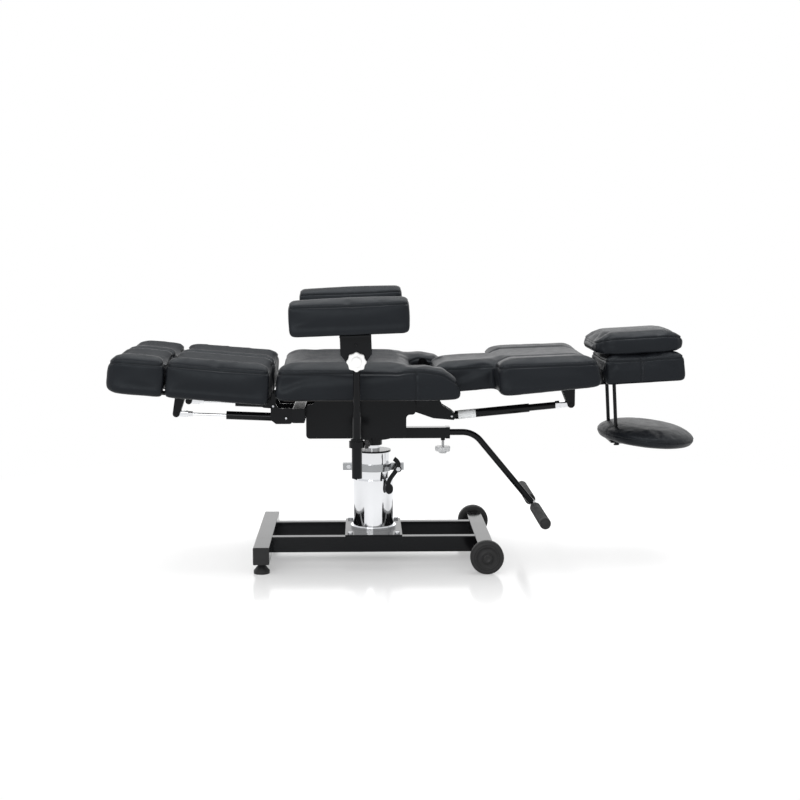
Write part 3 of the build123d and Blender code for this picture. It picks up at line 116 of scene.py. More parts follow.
class Finish(Board):
    def __init__(self, name, **fixed):
        self.material = bpy.data.materials.new(name)
        self.material.use_nodes = True
        super().__init__(self.material.node_tree)
        self.shader = self.tree.nodes["Principled BSDF"]
        self.set(**fixed)

    def set(self, **values):
        for key, value in values.items():
            self.feed(self.shader.inputs[key.replace("_", " ")], value)

    def place(self):
        return self.node("ShaderNodeTexCoord", {}, out="Object")

    def axis(self, letter):
        return self.node("ShaderNodeSeparateXYZ", {}, self.place(), out=letter)

    def stretched(self, scale):
        return self.node("ShaderNodeMapping", {}, self.place(), Scale=scale)

    def noise(self, scale, detail, rough, place=None):
        return self.node("ShaderNodeTexNoise", {}, place or self.place(), None, scale, detail, rough)

    def cells(self, scale):
        return self.node("ShaderNodeTexVoronoi", {}, self.place(), None, scale)

    def attribute(self, name):
        return self.node("ShaderNodeAttribute", {"attribute_name": name}, out=2)

    def vectors(self, operation, first, second=None, out="Value"):
        return self.node("ShaderNodeVectorMath", {"operation": operation}, first, second, out=out)

    def blend(self, amount, first, second):
        unused = (None,) * 5  # the number and vector sockets of the Mix node
        return self.node("ShaderNodeMix", {"data_type": "RGBA"}, amount, *unused, first, second, out=2)

    def rounded(self, radius):
        return self.node("ShaderNodeBevel", {"samples": 4}, radius)

    def wear(self, bent, most):
        flat = self.node("ShaderNodeNewGeometry", {}, out="Normal")
        return (1.0 - self.vectors("DOT_PRODUCT", bent, flat)).step(0.0, most)

    def bump(self, height, strength, distance, under=None):
        sockets = {"Strength": strength, "Distance": distance, "Height": height, "Normal": under}
        return self.node("ShaderNodeBump", {}, **sockets)


def darker(color, share):
    return tuple(share * c for c in color)


paintSettings = {
    "sheen": 0.17,
    "sheenTint": (0.94, 0.97, 1.0),
    "edge": 0.0012,
    "clouds": (9.0, 4.0, 0.6),  # each noise: scale, detail and roughness
    "dust": (420.0, 2.0, 0.5),
    "wearBend": 0.12,
    "wearRange": (0.35, 0.75),
    "wearShare": 0.45,
    "wornTimes": 3.2,
    "wornPlus": 0.02,
    "roughRange": (0.3, 0.7),
    "roughLess": 0.03,
    "roughMore": 0.05,
    "dustRough": 0.03,
    "dustBump": (0.03, 0.0003),
}


def paint(name, color, roughness):
    s = paintSettings
    made = Finish(name, Metallic=0.0, Specular_IOR_Level=s["sheen"], Specular_Tint=s["sheenTint"])
    bent = made.rounded(s["edge"])
    clouds = made.noise(*s["clouds"])
    dust = made.noise(*s["dust"])
    worn = tuple(min(1.0, s["wornTimes"] * c + s["wornPlus"]) for c in color)
    wear = made.wear(bent, s["wearBend"]) * clouds.step(*s["wearRange"]) * s["wearShare"]
    patches = clouds.step(*s["roughRange"], roughness - s["roughLess"], roughness + s["roughMore"])
    made.set(
        Base_Color=made.blend(wear, color, worn),
        Roughness=patches + dust * s["dustRough"],
        Normal=made.bump(dust, *s["dustBump"], bent),
    )
    return made.material


metalSettings = {
    "edge": 0.0006,
    "smear": (14.0, 5.0, 0.65),
    "smearRange": (0.35, 0.7),
    "smearShade": 0.86,
    "smearShare": 0.2,
    "roughRange": (0.4, 0.75),
    "roughMore": 0.05,
    "drawn": (1.0, 2.0, 0.5),
    "drawnStretch": (900.0, 900.0, 12.0),
    "drawnBump": (0.02, 0.0002),
}


def metal(name, color, roughness, grain=0.0):
    s = metalSettings
    made = Finish(name, Metallic=1.0)
    smear = made.noise(*s["smear"])
    drawn = made.noise(*s["drawn"], made.stretched(s["drawnStretch"]))
    strength, distance = s["drawnBump"]
    shaded = smear.step(*s["smearRange"]) * s["smearShare"]
    made.set(
        Base_Color=made.blend(shaded, color, darker(color, s["smearShade"])),
        Roughness=smear.step(*s["roughRange"], roughness, roughness + s["roughMore"]) + drawn * grain,
        Normal=made.bump(drawn, strength + grain, distance, made.rounded(s["edge"])),
    )
    return made.material


plasticSettings = {
    "sheen": 0.3,
    "edge": 0.001,
    "mottle": (60.0, 3.0, 0.5),
    "mottleRange": (0.35, 0.7),
    "mottleShade": 0.8,
    "mottleShare": 0.3,
    "roughRange": (0.3, 0.7),
    "roughMore": 0.1,
    "pitRange": (0.0, 0.4),
    "pitBump": (0.08, 0.0003),
}


def plastic(name, color, roughness, speckle=260.0):
    s = plasticSettings
    made = Finish(name, Metallic=0.0, Specular_IOR_Level=s["sheen"])
    mottle = made.noise(*s["mottle"])
    pits = made.cells(speckle).step(*s["pitRange"])
    shaded = mottle.step(*s["mottleRange"]) * s["mottleShare"]
    made.set(
        Base_Color=made.blend(shaded, color, darker(color, s["mottleShade"])),
        Roughness=mottle.step(*s["roughRange"], roughness, roughness + s["roughMore"]),
        Normal=made.bump(pits, *s["pitBump"], made.rounded(s["edge"])),
    )
    return made.material


leatherSettings = {
    "sheen": 0.17,
    "sheenTint": (0.86, 0.95, 1.0),
    "broad": (5.0, 4.0, 0.55),
    "broadRange": (0.35, 0.7),
    "broadShare": 0.5,
    "clouds": (38.0, 4.0, 0.6),
    "poreScale": 1150.0,
    "poreRange": (0.0, 0.55),
    "crease": (240.0, 4.0, 0.7),
    "grooveRange": (0.0002, 0.0014),
    # colour and share of the painted shade that darkens the leather in the seam grooves
    "grooveShadeColor": (0.003, 0.003, 0.003),
    "grooveShadeShare": 0.75,
    "grooveRough": 0.2,
    "threadRange": (0.0003, 0.0008),
    "threadColor": (0.06, 0.065, 0.07),
    "threadShare": 0.35,
    "dashLong": 0.0026,
    "dashRange": (0.0007, 0.0011),
    "roughRange": (0.3, 0.72),
    "roughness": (0.39, 0.49),
    "poreHigh": 0.6,
    "creaseHigh": 0.5,
    "threadHigh": 0.5,
    "grooveDeep": 1.2,
    "grainBump": (0.16, 0.0007),
    "cloudBump": (0.08, 0.004),
}


def leather(name, color, light):
    s = leatherSettings
    made = Finish(name, Metallic=0.0, Specular_IOR_Level=s["sheen"], Specular_Tint=s["sheenTint"])
    broad = made.noise(*s["broad"]).step(*s["broadRange"])
    clouds = made.noise(*s["clouds"])
    pores = made.cells(s["poreScale"]).step(*s["poreRange"])
    crease = made.noise(*s["crease"])
    seam = made.attribute("seam")
    run = made.axis("X") + made.axis("Y")
    groove = abs(seam).step(*s["grooveRange"], 1.0, 0.0)
    across = abs(seam - threadLine).step(*s["threadRange"], 1.0, 0.0)
    thread = across * run.maths("PINGPONG", run, s["dashLong"]).step(*s["dashRange"])
    tint = made.blend(broad * s["broadShare"], color, light)
    sewn = made.blend(thread * s["threadShare"], tint, s["threadColor"])
    grain = pores * s["poreHigh"] + crease * s["creaseHigh"] + thread * s["threadHigh"] - groove * s["grooveDeep"]
    made.set(
        # base colour darkened along the seam grooves: painted shade in the creases
        Base_Color=made.blend(groove * s["grooveShadeShare"], sewn, s["grooveShadeColor"]),
        Roughness=clouds.step(*s["roughRange"], *s["roughness"]) + groove * s["grooveRough"],
        Normal=made.bump(grain, *s["grainBump"], made.bump(clouds, *s["cloudBump"])),
    )
    return made.material


timberSettings = {
    "rings": (3.0, 6.0, 0.6),
    "ringStretch": (4.0, 60.0, 60.0),
    "shadeRange": (0.35, 0.65),
    "shade": 0.55,
    "roughRange": (0.3, 0.7),
    "roughness": (0.6, 0.75),
    "ringBump": (0.2, 0.0008),
}


def timber(name, color):
    s = timberSettings
    made = Finish(name, Metallic=0.0)
    rings = made.noise(*s["rings"], made.stretched(s["ringStretch"]))
    made.set(
        Base_Color=made.blend(rings.step(*s["shadeRange"]), color, darker(color, s["shade"])),
        Roughness=rings.step(*s["roughRange"], *s["roughness"]),
        Normal=made.bump(rings, *s["ringBump"]),
    )
    return made.material


finishes = {
    "black_paint": paint("blackPaint", (0.0045, 0.0046, 0.0052), 0.1),
    "chrome": metal("chrome", (0.78, 0.79, 0.81), 0.045),
    "zinc": metal("zinc", (0.55, 0.56, 0.58), 0.28, 0.08),
    "upholstery": leather("upholstery", (0.0065, 0.0072, 0.0092), (0.0095, 0.0108, 0.0135)),
    "black_plastic": plastic("blackPlastic", (0.012, 0.012, 0.0125), 0.42),
    "white_plastic": plastic("whitePlastic", (0.88, 0.88, 0.87), 0.25),
    "tread": plastic("tread", (0.014, 0.014, 0.0145), 0.55, 500.0),
    "grip_rubber": plastic("gripRubber", (0.012, 0.012, 0.0125), 0.6, 420.0),
    "board": timber("board", (0.03, 0.026, 0.022)),
}
clearKnob = plastic("clearKnob", (0.62, 0.63, 0.64), 0.18)
labelWhite = plastic("labelWhite", (0.93, 0.95, 0.96), 0.35)


# The back spring's rod is painted up to where its bare chrome starts

rodSettings = {
    "start": jointAt["back_spring_swing"],
    "reach": Vector((0.388, 0.0, 0.037)).normalized(),
    "bareFrom": 0.339,
    "bareEdge": 0.0004,
    "sheen": 0.2,
    "painted": (0.005, 0.005, 0.0058),
    "bare": (0.78, 0.79, 0.81),
    "roughness": (0.3, 0.06),
    "smear": (14.0, 5.0, 0.65),
    "smearRough": 0.04,
    "smearBump": (0.02, 0.0003),
    "edge": 0.0008,
}


def rodFinish(name):
    s = rodSettings
    made = Finish(name, Specular_IOR_Level=s["sheen"])
    offset = made.vectors("SUBTRACT", made.place(), tuple(s["start"]), "Vector")
    run = made.vectors("DOT_PRODUCT", offset, tuple(s["reach"]))
    bare = (run - s["bareFrom"]).step(0.0, s["bareEdge"])
    smear = made.noise(*s["smear"])
    made.set(
        Base_Color=made.blend(bare, s["painted"], s["bare"]),
        Metallic=bare,
        Roughness=bare.step(0.0, 1.0, *s["roughness"]) + smear * s["smearRough"],
        Normal=made.bump(smear, *s["smearBump"], made.rounded(s["edge"])),
    )
    return made.material


slotOf = {part["node"]: part["material_slot"] for part in record["subparts"]}
for name, item in nodes.items():
    item.data.materials.clear()
    item.data.materials.append(finishes[slotOf[name]])
nodes["brake_clamp"].data.materials[0] = metal("clampPlate", (0.34, 0.35, 0.36), 0.16)
nodes["back_spring_rod"].data.materials[0] = rodFinish("backRodFinish")
print("finishes done")


# Mesh tools

def newPiece(name, mesh, material, body, slotName, *replaced):
    item = bpy.data.objects.new(name, mesh)
    bpy.context.scene.collection.objects.link(item)
    item.data.materials.clear()
    item.data.materials.append(material)
    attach(item, body)
    if replaced:
        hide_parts(*replaced)
    return item


def lathe(name, profile, origin, axis, steps, wave=None):
    grid = bmesh.new()
    axis = Vector(axis).normalized()
    side = axis.orthogonal().normalized()
    up = axis.cross(side)
    rings = []
    for along, radius in profile:
        ring = []
        for k in range(steps):
            angle = 2 * math.pi * k / steps
            reach = radius * (wave(angle, radius) if wave else 1.0)
            offset = axis * along + (side * math.cos(angle) + up * math.sin(angle)) * reach
            ring.append(grid.verts.new(Vector(origin) + offset))
        rings.append(ring)
    for first, second in zip(rings, rings[1:]):
        for k in range(steps):
            grid.faces.new((first[k], first[(k + 1) % steps], second[(k + 1) % steps], second[k]))
    grid.faces.new(rings[0][::-1])
    grid.faces.new(rings[-1])
    bmesh.ops.recalc_face_normals(grid, faces=grid.faces)
    mesh = bpy.data.meshes.new(name)
    grid.to_mesh(mesh)
    grid.free()
    for face in mesh.polygons:
        face.use_smooth = True
    return mesh


def arc(along, radius, deep, wide, start, end):
    turns = [math.radians(turn) for turn in range(start, end + 1, 15)]
    return [(along + deep * math.sin(turn), radius + wide * math.cos(turn)) for turn in turns]


def evaluated(item):
    graph = bpy.context.evaluated_depsgraph_get()
    graph.update()
    return bpy.data.meshes.new_from_object(item.evaluated_get(graph))


def pointsOf(mesh):
    flat = np.empty(3 * len(mesh.vertices), np.float32)
    mesh.vertices.foreach_get("co", flat)
    return flat.reshape(-1, 3).astype(float)


def normalsOf(mesh):
    flat = np.empty(3 * len(mesh.vertices), np.float32)
    mesh.vertex_normals.foreach_get("vector", flat)
    return flat.reshape(-1, 3).astype(float)


def setPoints(mesh, points):
    mesh.vertices.foreach_set("co", points.astype(np.float32).ravel())
    mesh.update()


def edgesOf(mesh):
    flat = np.empty(2 * len(mesh.edges), np.int32)
    mesh.edges.foreach_get("vertices", flat)
    return flat.reshape(-1, 2)


def soften(values, edges, rounds):
    count = np.bincount(edges.ravel(), minlength=len(values)).astype(float)
    if values.ndim > 1:
        count = count[:, None]
    for turn in range(rounds):
        total = np.zeros_like(values)
        np.add.at(total, edges[:, 0], values[edges[:, 1]])
        np.add.at(total, edges[:, 1], values[edges[:, 0]])
        values = 0.5 * values + 0.5 * (total / count)
    return values


def ramp(values, start, over):
    return np.clip((values - start) / over, 0.0, 1.0)


def hump(gap, wide):
    return np.exp(-((gap / wide) ** 2))


# Cushions

padDefaults = {
    "voxel": 0.006,
    "roundings": 4,
    "shrink": 0.0012,
    "pressure": 4.0,
    "stiffness": 12.0,
    "bending": 2.0,
    "quality": 4,
    "frames": 20,
    "heldShare": 0.28,
    "cap": 0.006,
    "movedRoundings": 2,
    "leanRoundings": 4,
    "seamLean": 0.36,
    "seamReach": 0.03,
    "grooveWide": 0.0026,
    "grooveDeep": 0.0022,
    "ribAway": 0.008,
    "ribWide": 0.006,
    "ribHigh": 0.0007,
    "sideways": 0.75,  # how much a side faces sideways
    "topStart": 0.35,  # from where, and over how much more, a place counts as the top
    "topOver": 0.4,
    "fill": 0.8,
    "ends": (),
    "cuts": (),
    "valleys": (),
}


def swell(item, settings, up):
    mesh = item.data
    start = pointsOf(mesh)
    level = start @ up
    low, high = level.min(), level.max()
    group = item.vertex_groups.new(name="hold")
    for k in np.nonzero(level < low + settings["heldShare"] * (high - low))[0]:
        group.add([int(k)], 1.0, "REPLACE")
    cloth = item.modifiers.new("swell", "CLOTH")
    cloth.settings.use_pressure = True
    cloth.settings.uniform_pressure_force = settings["pressure"]
    cloth.settings.effector_weights.gravity = 0.0
    cloth.settings.vertex_group_mass = "hold"
    cloth.settings.quality = settings["quality"]
    cloth.settings.tension_stiffness = settings["stiffness"]
    cloth.settings.compression_stiffness = settings["stiffness"]
    cloth.settings.bending_stiffness = settings["bending"]
    cloth.point_cache.frame_start = 1
    cloth.point_cache.frame_end = settings["frames"]
    scene = bpy.context.scene
    for step in range(1, settings["frames"] + 1):
        scene.frame_set(step)
    moved = pointsOf(evaluated(item)) - start
    scene.frame_set(1)
    item.modifiers.remove(cloth)
    item.vertex_groups.clear()
    length = np.linalg.norm(moved, axis=1)
    share = np.minimum(1.0, settings["cap"] / np.maximum(length, 1e-9))
    setPoints(mesh, start + soften(moved * share[:, None], edgesOf(mesh), settings["movedRoundings"]))
    return length.max()


stitchSettings = {
    "Thread Radius": 0.0007,
    "Stitch Stretch": (3.4, 1.0, 0.8),
    "pitch": 0.0062,
    "lift": 0.0002,
    "fewest": 60,  # a shorter chain of crossings is no seam
    "widestGap": 0.05,
    "shortest": 1e-5,
}
threadFinish = plastic("thread", (0.02, 0.021, 0.023), 0.55, 900.0)


def stitchTree():
    tree = bpy.data.node_groups.new("stitches", "GeometryNodeTree")
    socket = tree.interface.new_socket
    socket("Geometry", in_out="INPUT", socket_type="NodeSocketGeometry")
    socket("Thread Radius", in_out="INPUT", socket_type="NodeSocketFloat")
    socket("Stitch Stretch", in_out="INPUT", socket_type="NodeSocketVector")
    socket("Geometry", in_out="OUTPUT", socket_type="NodeSocketGeometry")
    make, link = tree.nodes.new, tree.links.new
    entry, leave = make("NodeGroupInput"), make("NodeGroupOutput")
    bead = make("GeometryNodeMeshUVSphere")
    bead.inputs["Segments"].default_value = 6
    bead.inputs["Rings"].default_value = 4
    stretch = make("GeometryNodeTransform")
    spread = make("GeometryNodeInstanceOnPoints")
    turn = make("GeometryNodeInputNamedAttribute")
    turn.data_type = "FLOAT_VECTOR"
    turn.inputs["Name"].default_value = "turn"
    real = make("GeometryNodeRealizeInstances")
    coat = make("GeometryNodeSetMaterial")
    coat.inputs["Material"].default_value = threadFinish
    link(entry.outputs["Thread Radius"], bead.inputs["Radius"])
    link(bead.outputs["Mesh"], stretch.inputs["Geometry"])
    link(entry.outputs["Stitch Stretch"], stretch.inputs["Scale"])
    link(entry.outputs["Geometry"], spread.inputs["Points"])
    link(stretch.outputs[0], spread.inputs["Instance"])
    link(turn.outputs[0], spread.inputs["Rotation"])
    link(spread.outputs[0], real.inputs[0])
    link(real.outputs[0], coat.inputs["Geometry"])
    link(coat.outputs[0], leave.inputs[0])
    return tree


stitching = stitchTree()


def seamLines(mesh, seam):
    points = pointsOf(mesh)
    normals = normalsOf(mesh)
    crossing = {}  # each cut edge and the cut edges that share a face with it
    for face in mesh.polygons:
        cut = []
        corners = list(face.vertices)
        for a, b in zip(corners, corners[1:] + corners[:1]):
            if (seam[a] < threadLine) != (seam[b] < threadLine):
                cut.append((min(a, b), max(a, b)))
        if len(cut) == 2:
            crossing.setdefault(cut[0], []).append(cut[1])
            crossing.setdefault(cut[1], []).append(cut[0])
    lines = []
    left = set(crossing)
    while left:
        here = min(left)
        chain = []
        while here in left:
            left.discard(here)
            chain.append(here)
            onward = [n for n in crossing[here] if n in left]
            if onward:
                here = onward[0]
        if len(chain) > stitchSettings["fewest"]:
            share = np.array([(threadLine - seam[a]) / (seam[b] - seam[a]) for a, b in chain])[:, None]
            first = np.array([a for a, b in chain])
            second = np.array([b for a, b in chain])
            line = points[first] * (1 - share) + points[second] * share
            out = normals[first] * (1 - share) + normals[second] * share
            lines.append((line, out))
    return lines


def sampled(marks, run, rows):
    return np.column_stack([np.interp(marks, run, rows[:, k]) for k in range(3)])


def stitch(name, mesh, seam, body):
    s = stitchSettings
    places = []
    turns = []
    for line, out in seamLines(mesh, seam):
        closed = np.vstack([line, line[:1]])
        gaps = np.linalg.norm(np.diff(closed, axis=0), axis=1)
        if gaps[-1] > s["widestGap"]:
            closed, gaps = line, gaps[:-1]
        run = np.concatenate([[0.0], np.cumsum(gaps)])
        marks = np.arange(0.0, run[-1], s["pitch"])
        at = sampled(marks, run, closed)
        ahead = sampled(np.minimum(marks + s["pitch"] / 2, run[-1]), run, closed)
        outward = sampled(marks, run[: len(out)], out)
        for spot, nextSpot, away in zip(at, ahead, outward):
            along = Vector(nextSpot - spot)
            if along.length < s["shortest"]:
                continue
            along.normalize()
            across = Vector(away).cross(along).normalized()
            rise = along.cross(across)
            turns.append(Matrix((along, across, rise)).transposed().to_euler())
            places.append(Vector(spot) + rise * s["lift"])
    base = bpy.data.meshes.new(name)
    base.from_pydata([tuple(p) for p in places], [], [])
    store = base.attributes.new("turn", "FLOAT_VECTOR", "POINT")
    for k, angle in enumerate(turns):
        store.data[k].vector = tuple(angle)
    item = bpy.data.objects.new(name + "Points", base)
    bpy.context.scene.collection.objects.link(item)
    spread = item.modifiers.new("stitches", "NODES")
    spread.node_group = stitching
    for socket in stitching.interface.items_tree:
        if socket.name in s:
            spread[socket.identifier] = s[socket.name]
    made = evaluated(item)
    bpy.data.objects.remove(item)
    made.name = name
    newPiece(name, made, threadFinish, body, "upholstery")


def cushion(name, node, body, tilt, settings):
    source = nodes[node]
    up = np.array((-math.sin(math.radians(tilt)), 0.0, math.cos(math.radians(tilt))))
    item = newPiece(name, source.data.copy(), finishes["upholstery"], body, "upholstery", node)
    remesh = item.modifiers.new("remesh", "REMESH")
    remesh.mode = "VOXEL"
    remesh.voxel_size = settings["voxel"]
    remesh.use_smooth_shade = True
    mesh = evaluated(item)
    item.modifiers.remove(remesh)
    item.data = mesh
    edges = edgesOf(mesh)
    points = soften(pointsOf(mesh), edges, settings["roundings"])
    for end in settings["ends"]:
        along = (points[:, 0] - end["face"]) * end["way"]
        widths = []
        for run, inset in (end["solidRoll"], end["sewnRoll"]):
            curve = 1.0 - np.clip(1.0 - along / run, 0.0, 1.0) ** 2
            widths.append(end["halfWide"] - inset * (1.0 - np.sqrt(curve)))
        points[:, 1] *= widths[1] / widths[0]
    setPoints(mesh, points)
    lean = soften(normalsOf(mesh) @ up, edges, settings["leanRoundings"])
    setPoints(mesh, points - normalsOf(mesh) * settings["shrink"])
    grown = 0.0
    grown = swell(item, settings, up)
    store = mesh.attributes.new("seam", "FLOAT", "POINT")
    store.data.foreach_set("value", ((lean - settings["seamLean"]) * settings["seamReach"]).astype(np.float32))
    divide = item.modifiers.new("divide", "SUBSURF")
    divide.levels = 1
    divide.render_levels = 1
    smooth = evaluated(item)
    item.modifiers.remove(divide)
    item.data = smooth
    smooth.name = name
    store = smooth.attributes["seam"]
    seam = np.empty(len(smooth.vertices), np.float32)
    store.data.foreach_get("value", seam)
    points = pointsOf(smooth)
    normals = normalsOf(smooth)
    level = points @ up
    sideways = np.abs(normals[:, 1]) > settings["sideways"]
    for where, low, high in settings["cuts"]:  # upright seams on the sides
        gap = points[:, 0] - where
        nearer = np.abs(gap) < np.abs(seam)
        seam = np.where(sideways & (level > low) & (level < high) & nearer, gap, seam)
    sink = np.zeros(len(points))
    upwards = ramp(normals @ up, settings["topStart"], settings["topOver"])
    for valley in settings["valleys"]:  # long sewn channels on the top
        gap = points[:, 1] - valley["y"]
        wide = valley["wide"]
        fade = ramp(points[:, 0], valley["low"], wide) * ramp(-points[:, 0], -valley["high"], wide)
        sink = np.maximum(sink, hump(gap, wide) * valley["deep"] * fade * upwards)
        nearer = np.abs(gap) < np.abs(seam)
        sewn = (upwards > valley["sewnUpwards"]) & (fade > valley["sewnFade"])
        seam = np.where(sewn & nearer, gap, seam)
    store.data.foreach_set("value", seam.astype(np.float32))
    groove = hump(seam, settings["grooveWide"]) * settings["grooveDeep"]
    rib = hump(np.abs(seam) - settings["ribAway"], settings["ribWide"]) * settings["ribHigh"]
    setPoints(smooth, points - sink[:, None] * up + normals * (rib - groove)[:, None])
    smooth.materials.clear()
    smooth.materials.append(finishes["upholstery"])
    for face in smooth.polygons:
        face.use_smooth = True
    stitch(name + "Stitches", smooth, seam, body)
    print(name, "vertices", len(smooth.vertices), "moved", round(1000 * grown, 1))


tilts = {"leg": -4.8, "back": 5.0, "head": 3.3, "arm": 2.2, "shelf": -4.4}
cushion("seatCushion", "seat_pad", "seat", 0.0, {
    **padDefaults,
    "voxel": 0.0075,
    "cap": 0.007,
    "cuts": [(columnX + 0.128, 0.53, 0.63)],
})
for sideName, side in sides:
    cushion("calf_" + sideName, "calf_pad_" + sideName, "leg_" + sideName, tilts["leg"], padDefaults)
    cushion("foot_" + sideName, "foot_pad_" + sideName, "foot_" + sideName, tilts["leg"], padDefaults)
backValley = {
    "y": 0.147,
    "low": columnX + 0.365,
    "high": columnX + 0.70,
    "deep": 0.007,
    "wide": 0.014,
    "sewnUpwards": 0.5,
    "sewnFade": 0.2,
}
cushion("backCushion", "back_pad", "back", tilts["back"], {
    **padDefaults,
    "voxel": 0.007,
    "valleys": [{**backValley, "y": side * backValley["y"]} for sideName, side in sides],
})
cushion("headCushion", "head_pad", "head", tilts["head"], {
    **padDefaults,
    "cuts": [(columnX + 0.842, 0.5, 0.7)],
})
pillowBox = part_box("pillow")
pillowHalf = 0.131
pillowEnds = [  # how the solid rolls in at its ends, and how the sewn pillow does
    {"face": pillowBox[0].x, "way": 1, "solidRoll": (0.066, 0.072), "sewnRoll": (0.036, 0.036)},
    {"face": pillowBox[1].x, "way": -1, "solidRoll": (0.054, 0.058), "sewnRoll": (0.034, 0.034)},
]
cushion("pillowCushion", "pillow", "head", tilts["head"], {
    **padDefaults,
    "fill": 0.7,
    "roundings": 2,
    "ends": [{**end, "halfWide": pillowHalf} for end in pillowEnds],
})
cushion("shelfCushion", "shelf_pad", "shelf", tilts["shelf"], {
    **padDefaults,
    "voxel": 0.005,
    "seamLean": 0.02,
    "seamReach": 0.04,
    "heldShare": 0.4,
    "pressure": 2.0,
    "shrink": 0.0005,
    "cap": 0.0025,
})
armPad = {**padDefaults, "voxel": 0.005}
for sideName, side in sides:
    cushion("arm_" + sideName, "arm_pad_" + sideName, "arm_rest_" + sideName, tilts["arm"], armPad)
print("cushions done")


# Wheels

wheelSettings = {
    "radius": 0.052,
    "wide": 0.036,
    "inner": 0.262,
    "ahead": 0.3485,
    "steps": 96,
    "inboard": [
        (-0.0155, 0.0066), (-0.0155, 0.0145), (0.004, 0.0150), (0.0035, 0.0300),
        (0.0005, 0.0330), (0.0, 0.0400), (0.0008, 0.0462),
    ],
    "shoulder": [(0.0042, 0.0016), (0.0070, 0.0003)],
    "crown": 0.00005,
    "outboard": [
        (0.0008, 0.0462), (0.0, 0.0420), (0.0004, 0.0398), (0.0022, 0.0392), (0.0024, 0.0380),
        (0.0016, 0.0372), (0.0018, 0.0335), (0.0040, 0.0325), (0.0044, 0.0200), (0.0030, 0.0188),
        (0.0028, 0.0165), (0.0005, 0.0155), (0.0, 0.0135), (0.0, 0.0066),
    ],
}
for sideName, side in sides:
    s = wheelSettings
    r = s["radius"]
    half = s["wide"] / 2
    middle = Vector((columnX + s["ahead"], side * (s["inner"] + half), r))
    profile = [(along - half, radius) for along, radius in s["inboard"]]
    profile += [(along - half, r - under) for along, under in s["shoulder"]]
    profile += [(0.0, r - s["crown"])]
    profile += [(half - along, r - under) for along, under in reversed(s["shoulder"])]
    profile += [(half - along, radius) for along, radius in s["outboard"]]
    mesh = lathe("wheelDisc_" + sideName, profile, middle, (0, side, 0), s["steps"])
    newPiece("wheelDisc_" + sideName, mesh, finishes["tread"], "wheel_" + sideName, "tread", "wheel_" + sideName)


# Star knobs

starShape = {
    "bite": 0.115,
    "biteFrom": 0.35,
    "biteOver": 0.45,
    "biteCurve": 0.8,
    "backRound": 0.003,
    "faceRound": 0.005,
    "faceShare": 0.72,
    "hollow": (0.45, 0.7),
    "backFlat": 0.9,
    "faceFlat": 0.85,
    "stepsPerLobe": 16,
    "boss": [
        (0.70, 0.72), (0.70, 0.60), (0.74, 0.56), (0.92, 0.50),
        (0.99, 0.42), (1.0, 0.30), (1.0, 0.1), (0.99, 0.02),
    ],
}


def starKnob(name, origin, axis, knob, material, slotName, body):
    s = starShape
    radius, thick, lobes = knob["radius"], knob["thick"], knob["lobes"]

    def wave(angle, reach):
        bite = s["bite"] * max(0.0, min(1.0, (reach / radius - s["biteFrom"]) / s["biteOver"]))
        return 1.0 - bite * (0.5 - 0.5 * math.cos(lobes * angle)) ** s["biteCurve"]

    back, front = s["backRound"], s["faceRound"]
    backFlat, faceFlat = s["backFlat"] * radius, s["faceFlat"] * radius
    inner, outer = (share * radius for share in s["hollow"])
    dent = 0.0002
    profile = [(-knob["stemLong"], knob["stem"]), (0.0, knob["stem"] + dent), (dent, inner), (0.0, outer)]
    profile += arc(back, backFlat, back, radius - backFlat, -90, 0)
    profile += arc(s["faceShare"] * thick - front, faceFlat, front, radius - faceFlat, 0, 90)
    profile += [(along * thick, share * radius) for along, share in s["boss"]]
    mesh = lathe(name, profile, origin, axis, lobes * s["stepsPerLobe"], wave)
    newPiece(name, mesh, material, body, slotName, body)


tiltKnob = {"radius": 0.030, "thick": 0.020, "lobes": 8, "stem": 0.0049, "stemLong": 0.027}
heightKnob = {"radius": 0.014, "thick": 0.016, "lobes": 6, "stem": 0.0039, "stemLong": 0.0078}
pedalKnob = {"radius": 0.0255, "thick": 0.023, "lobes": 7, "stem": 0.0039, "stemLong": 0.035}
for sideName, side in sides:
    lowCorner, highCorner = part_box("tilt_knob_" + sideName)
    middle = (lowCorner + highCorner) / 2
    face = max(abs(lowCorner.y), abs(highCorner.y)) - tiltKnob["thick"]
    starKnob(
        "star_" + sideName, (middle.x, side * face, middle.z), (0, side, 0), tiltKnob,
        finishes["white_plastic"], "white_plastic", "tilt_knob_" + sideName,
    )
    lowCorner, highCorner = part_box("height_knob_" + sideName)
    middle = (lowCorner + highCorner) / 2
    starKnob(
        "collarKnob_" + sideName, (highCorner.x - heightKnob["thick"], middle.y, middle.z), (1, 0, 0), heightKnob,
        finishes["black_plastic"], "black_plastic", "height_knob_" + sideName,
    )
lowCorner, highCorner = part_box("pedal_knob")
middle = (lowCorner + highCorner) / 2
starKnob(
    "pedalStar", (middle.x, 0.0, lowCorner.z + pedalKnob["thick"]), (0, 0, -1), pedalKnob,
    clearKnob, "white_plastic", "pedal_knob",
)
print("wheels and knobs done")


# Pump lever grips

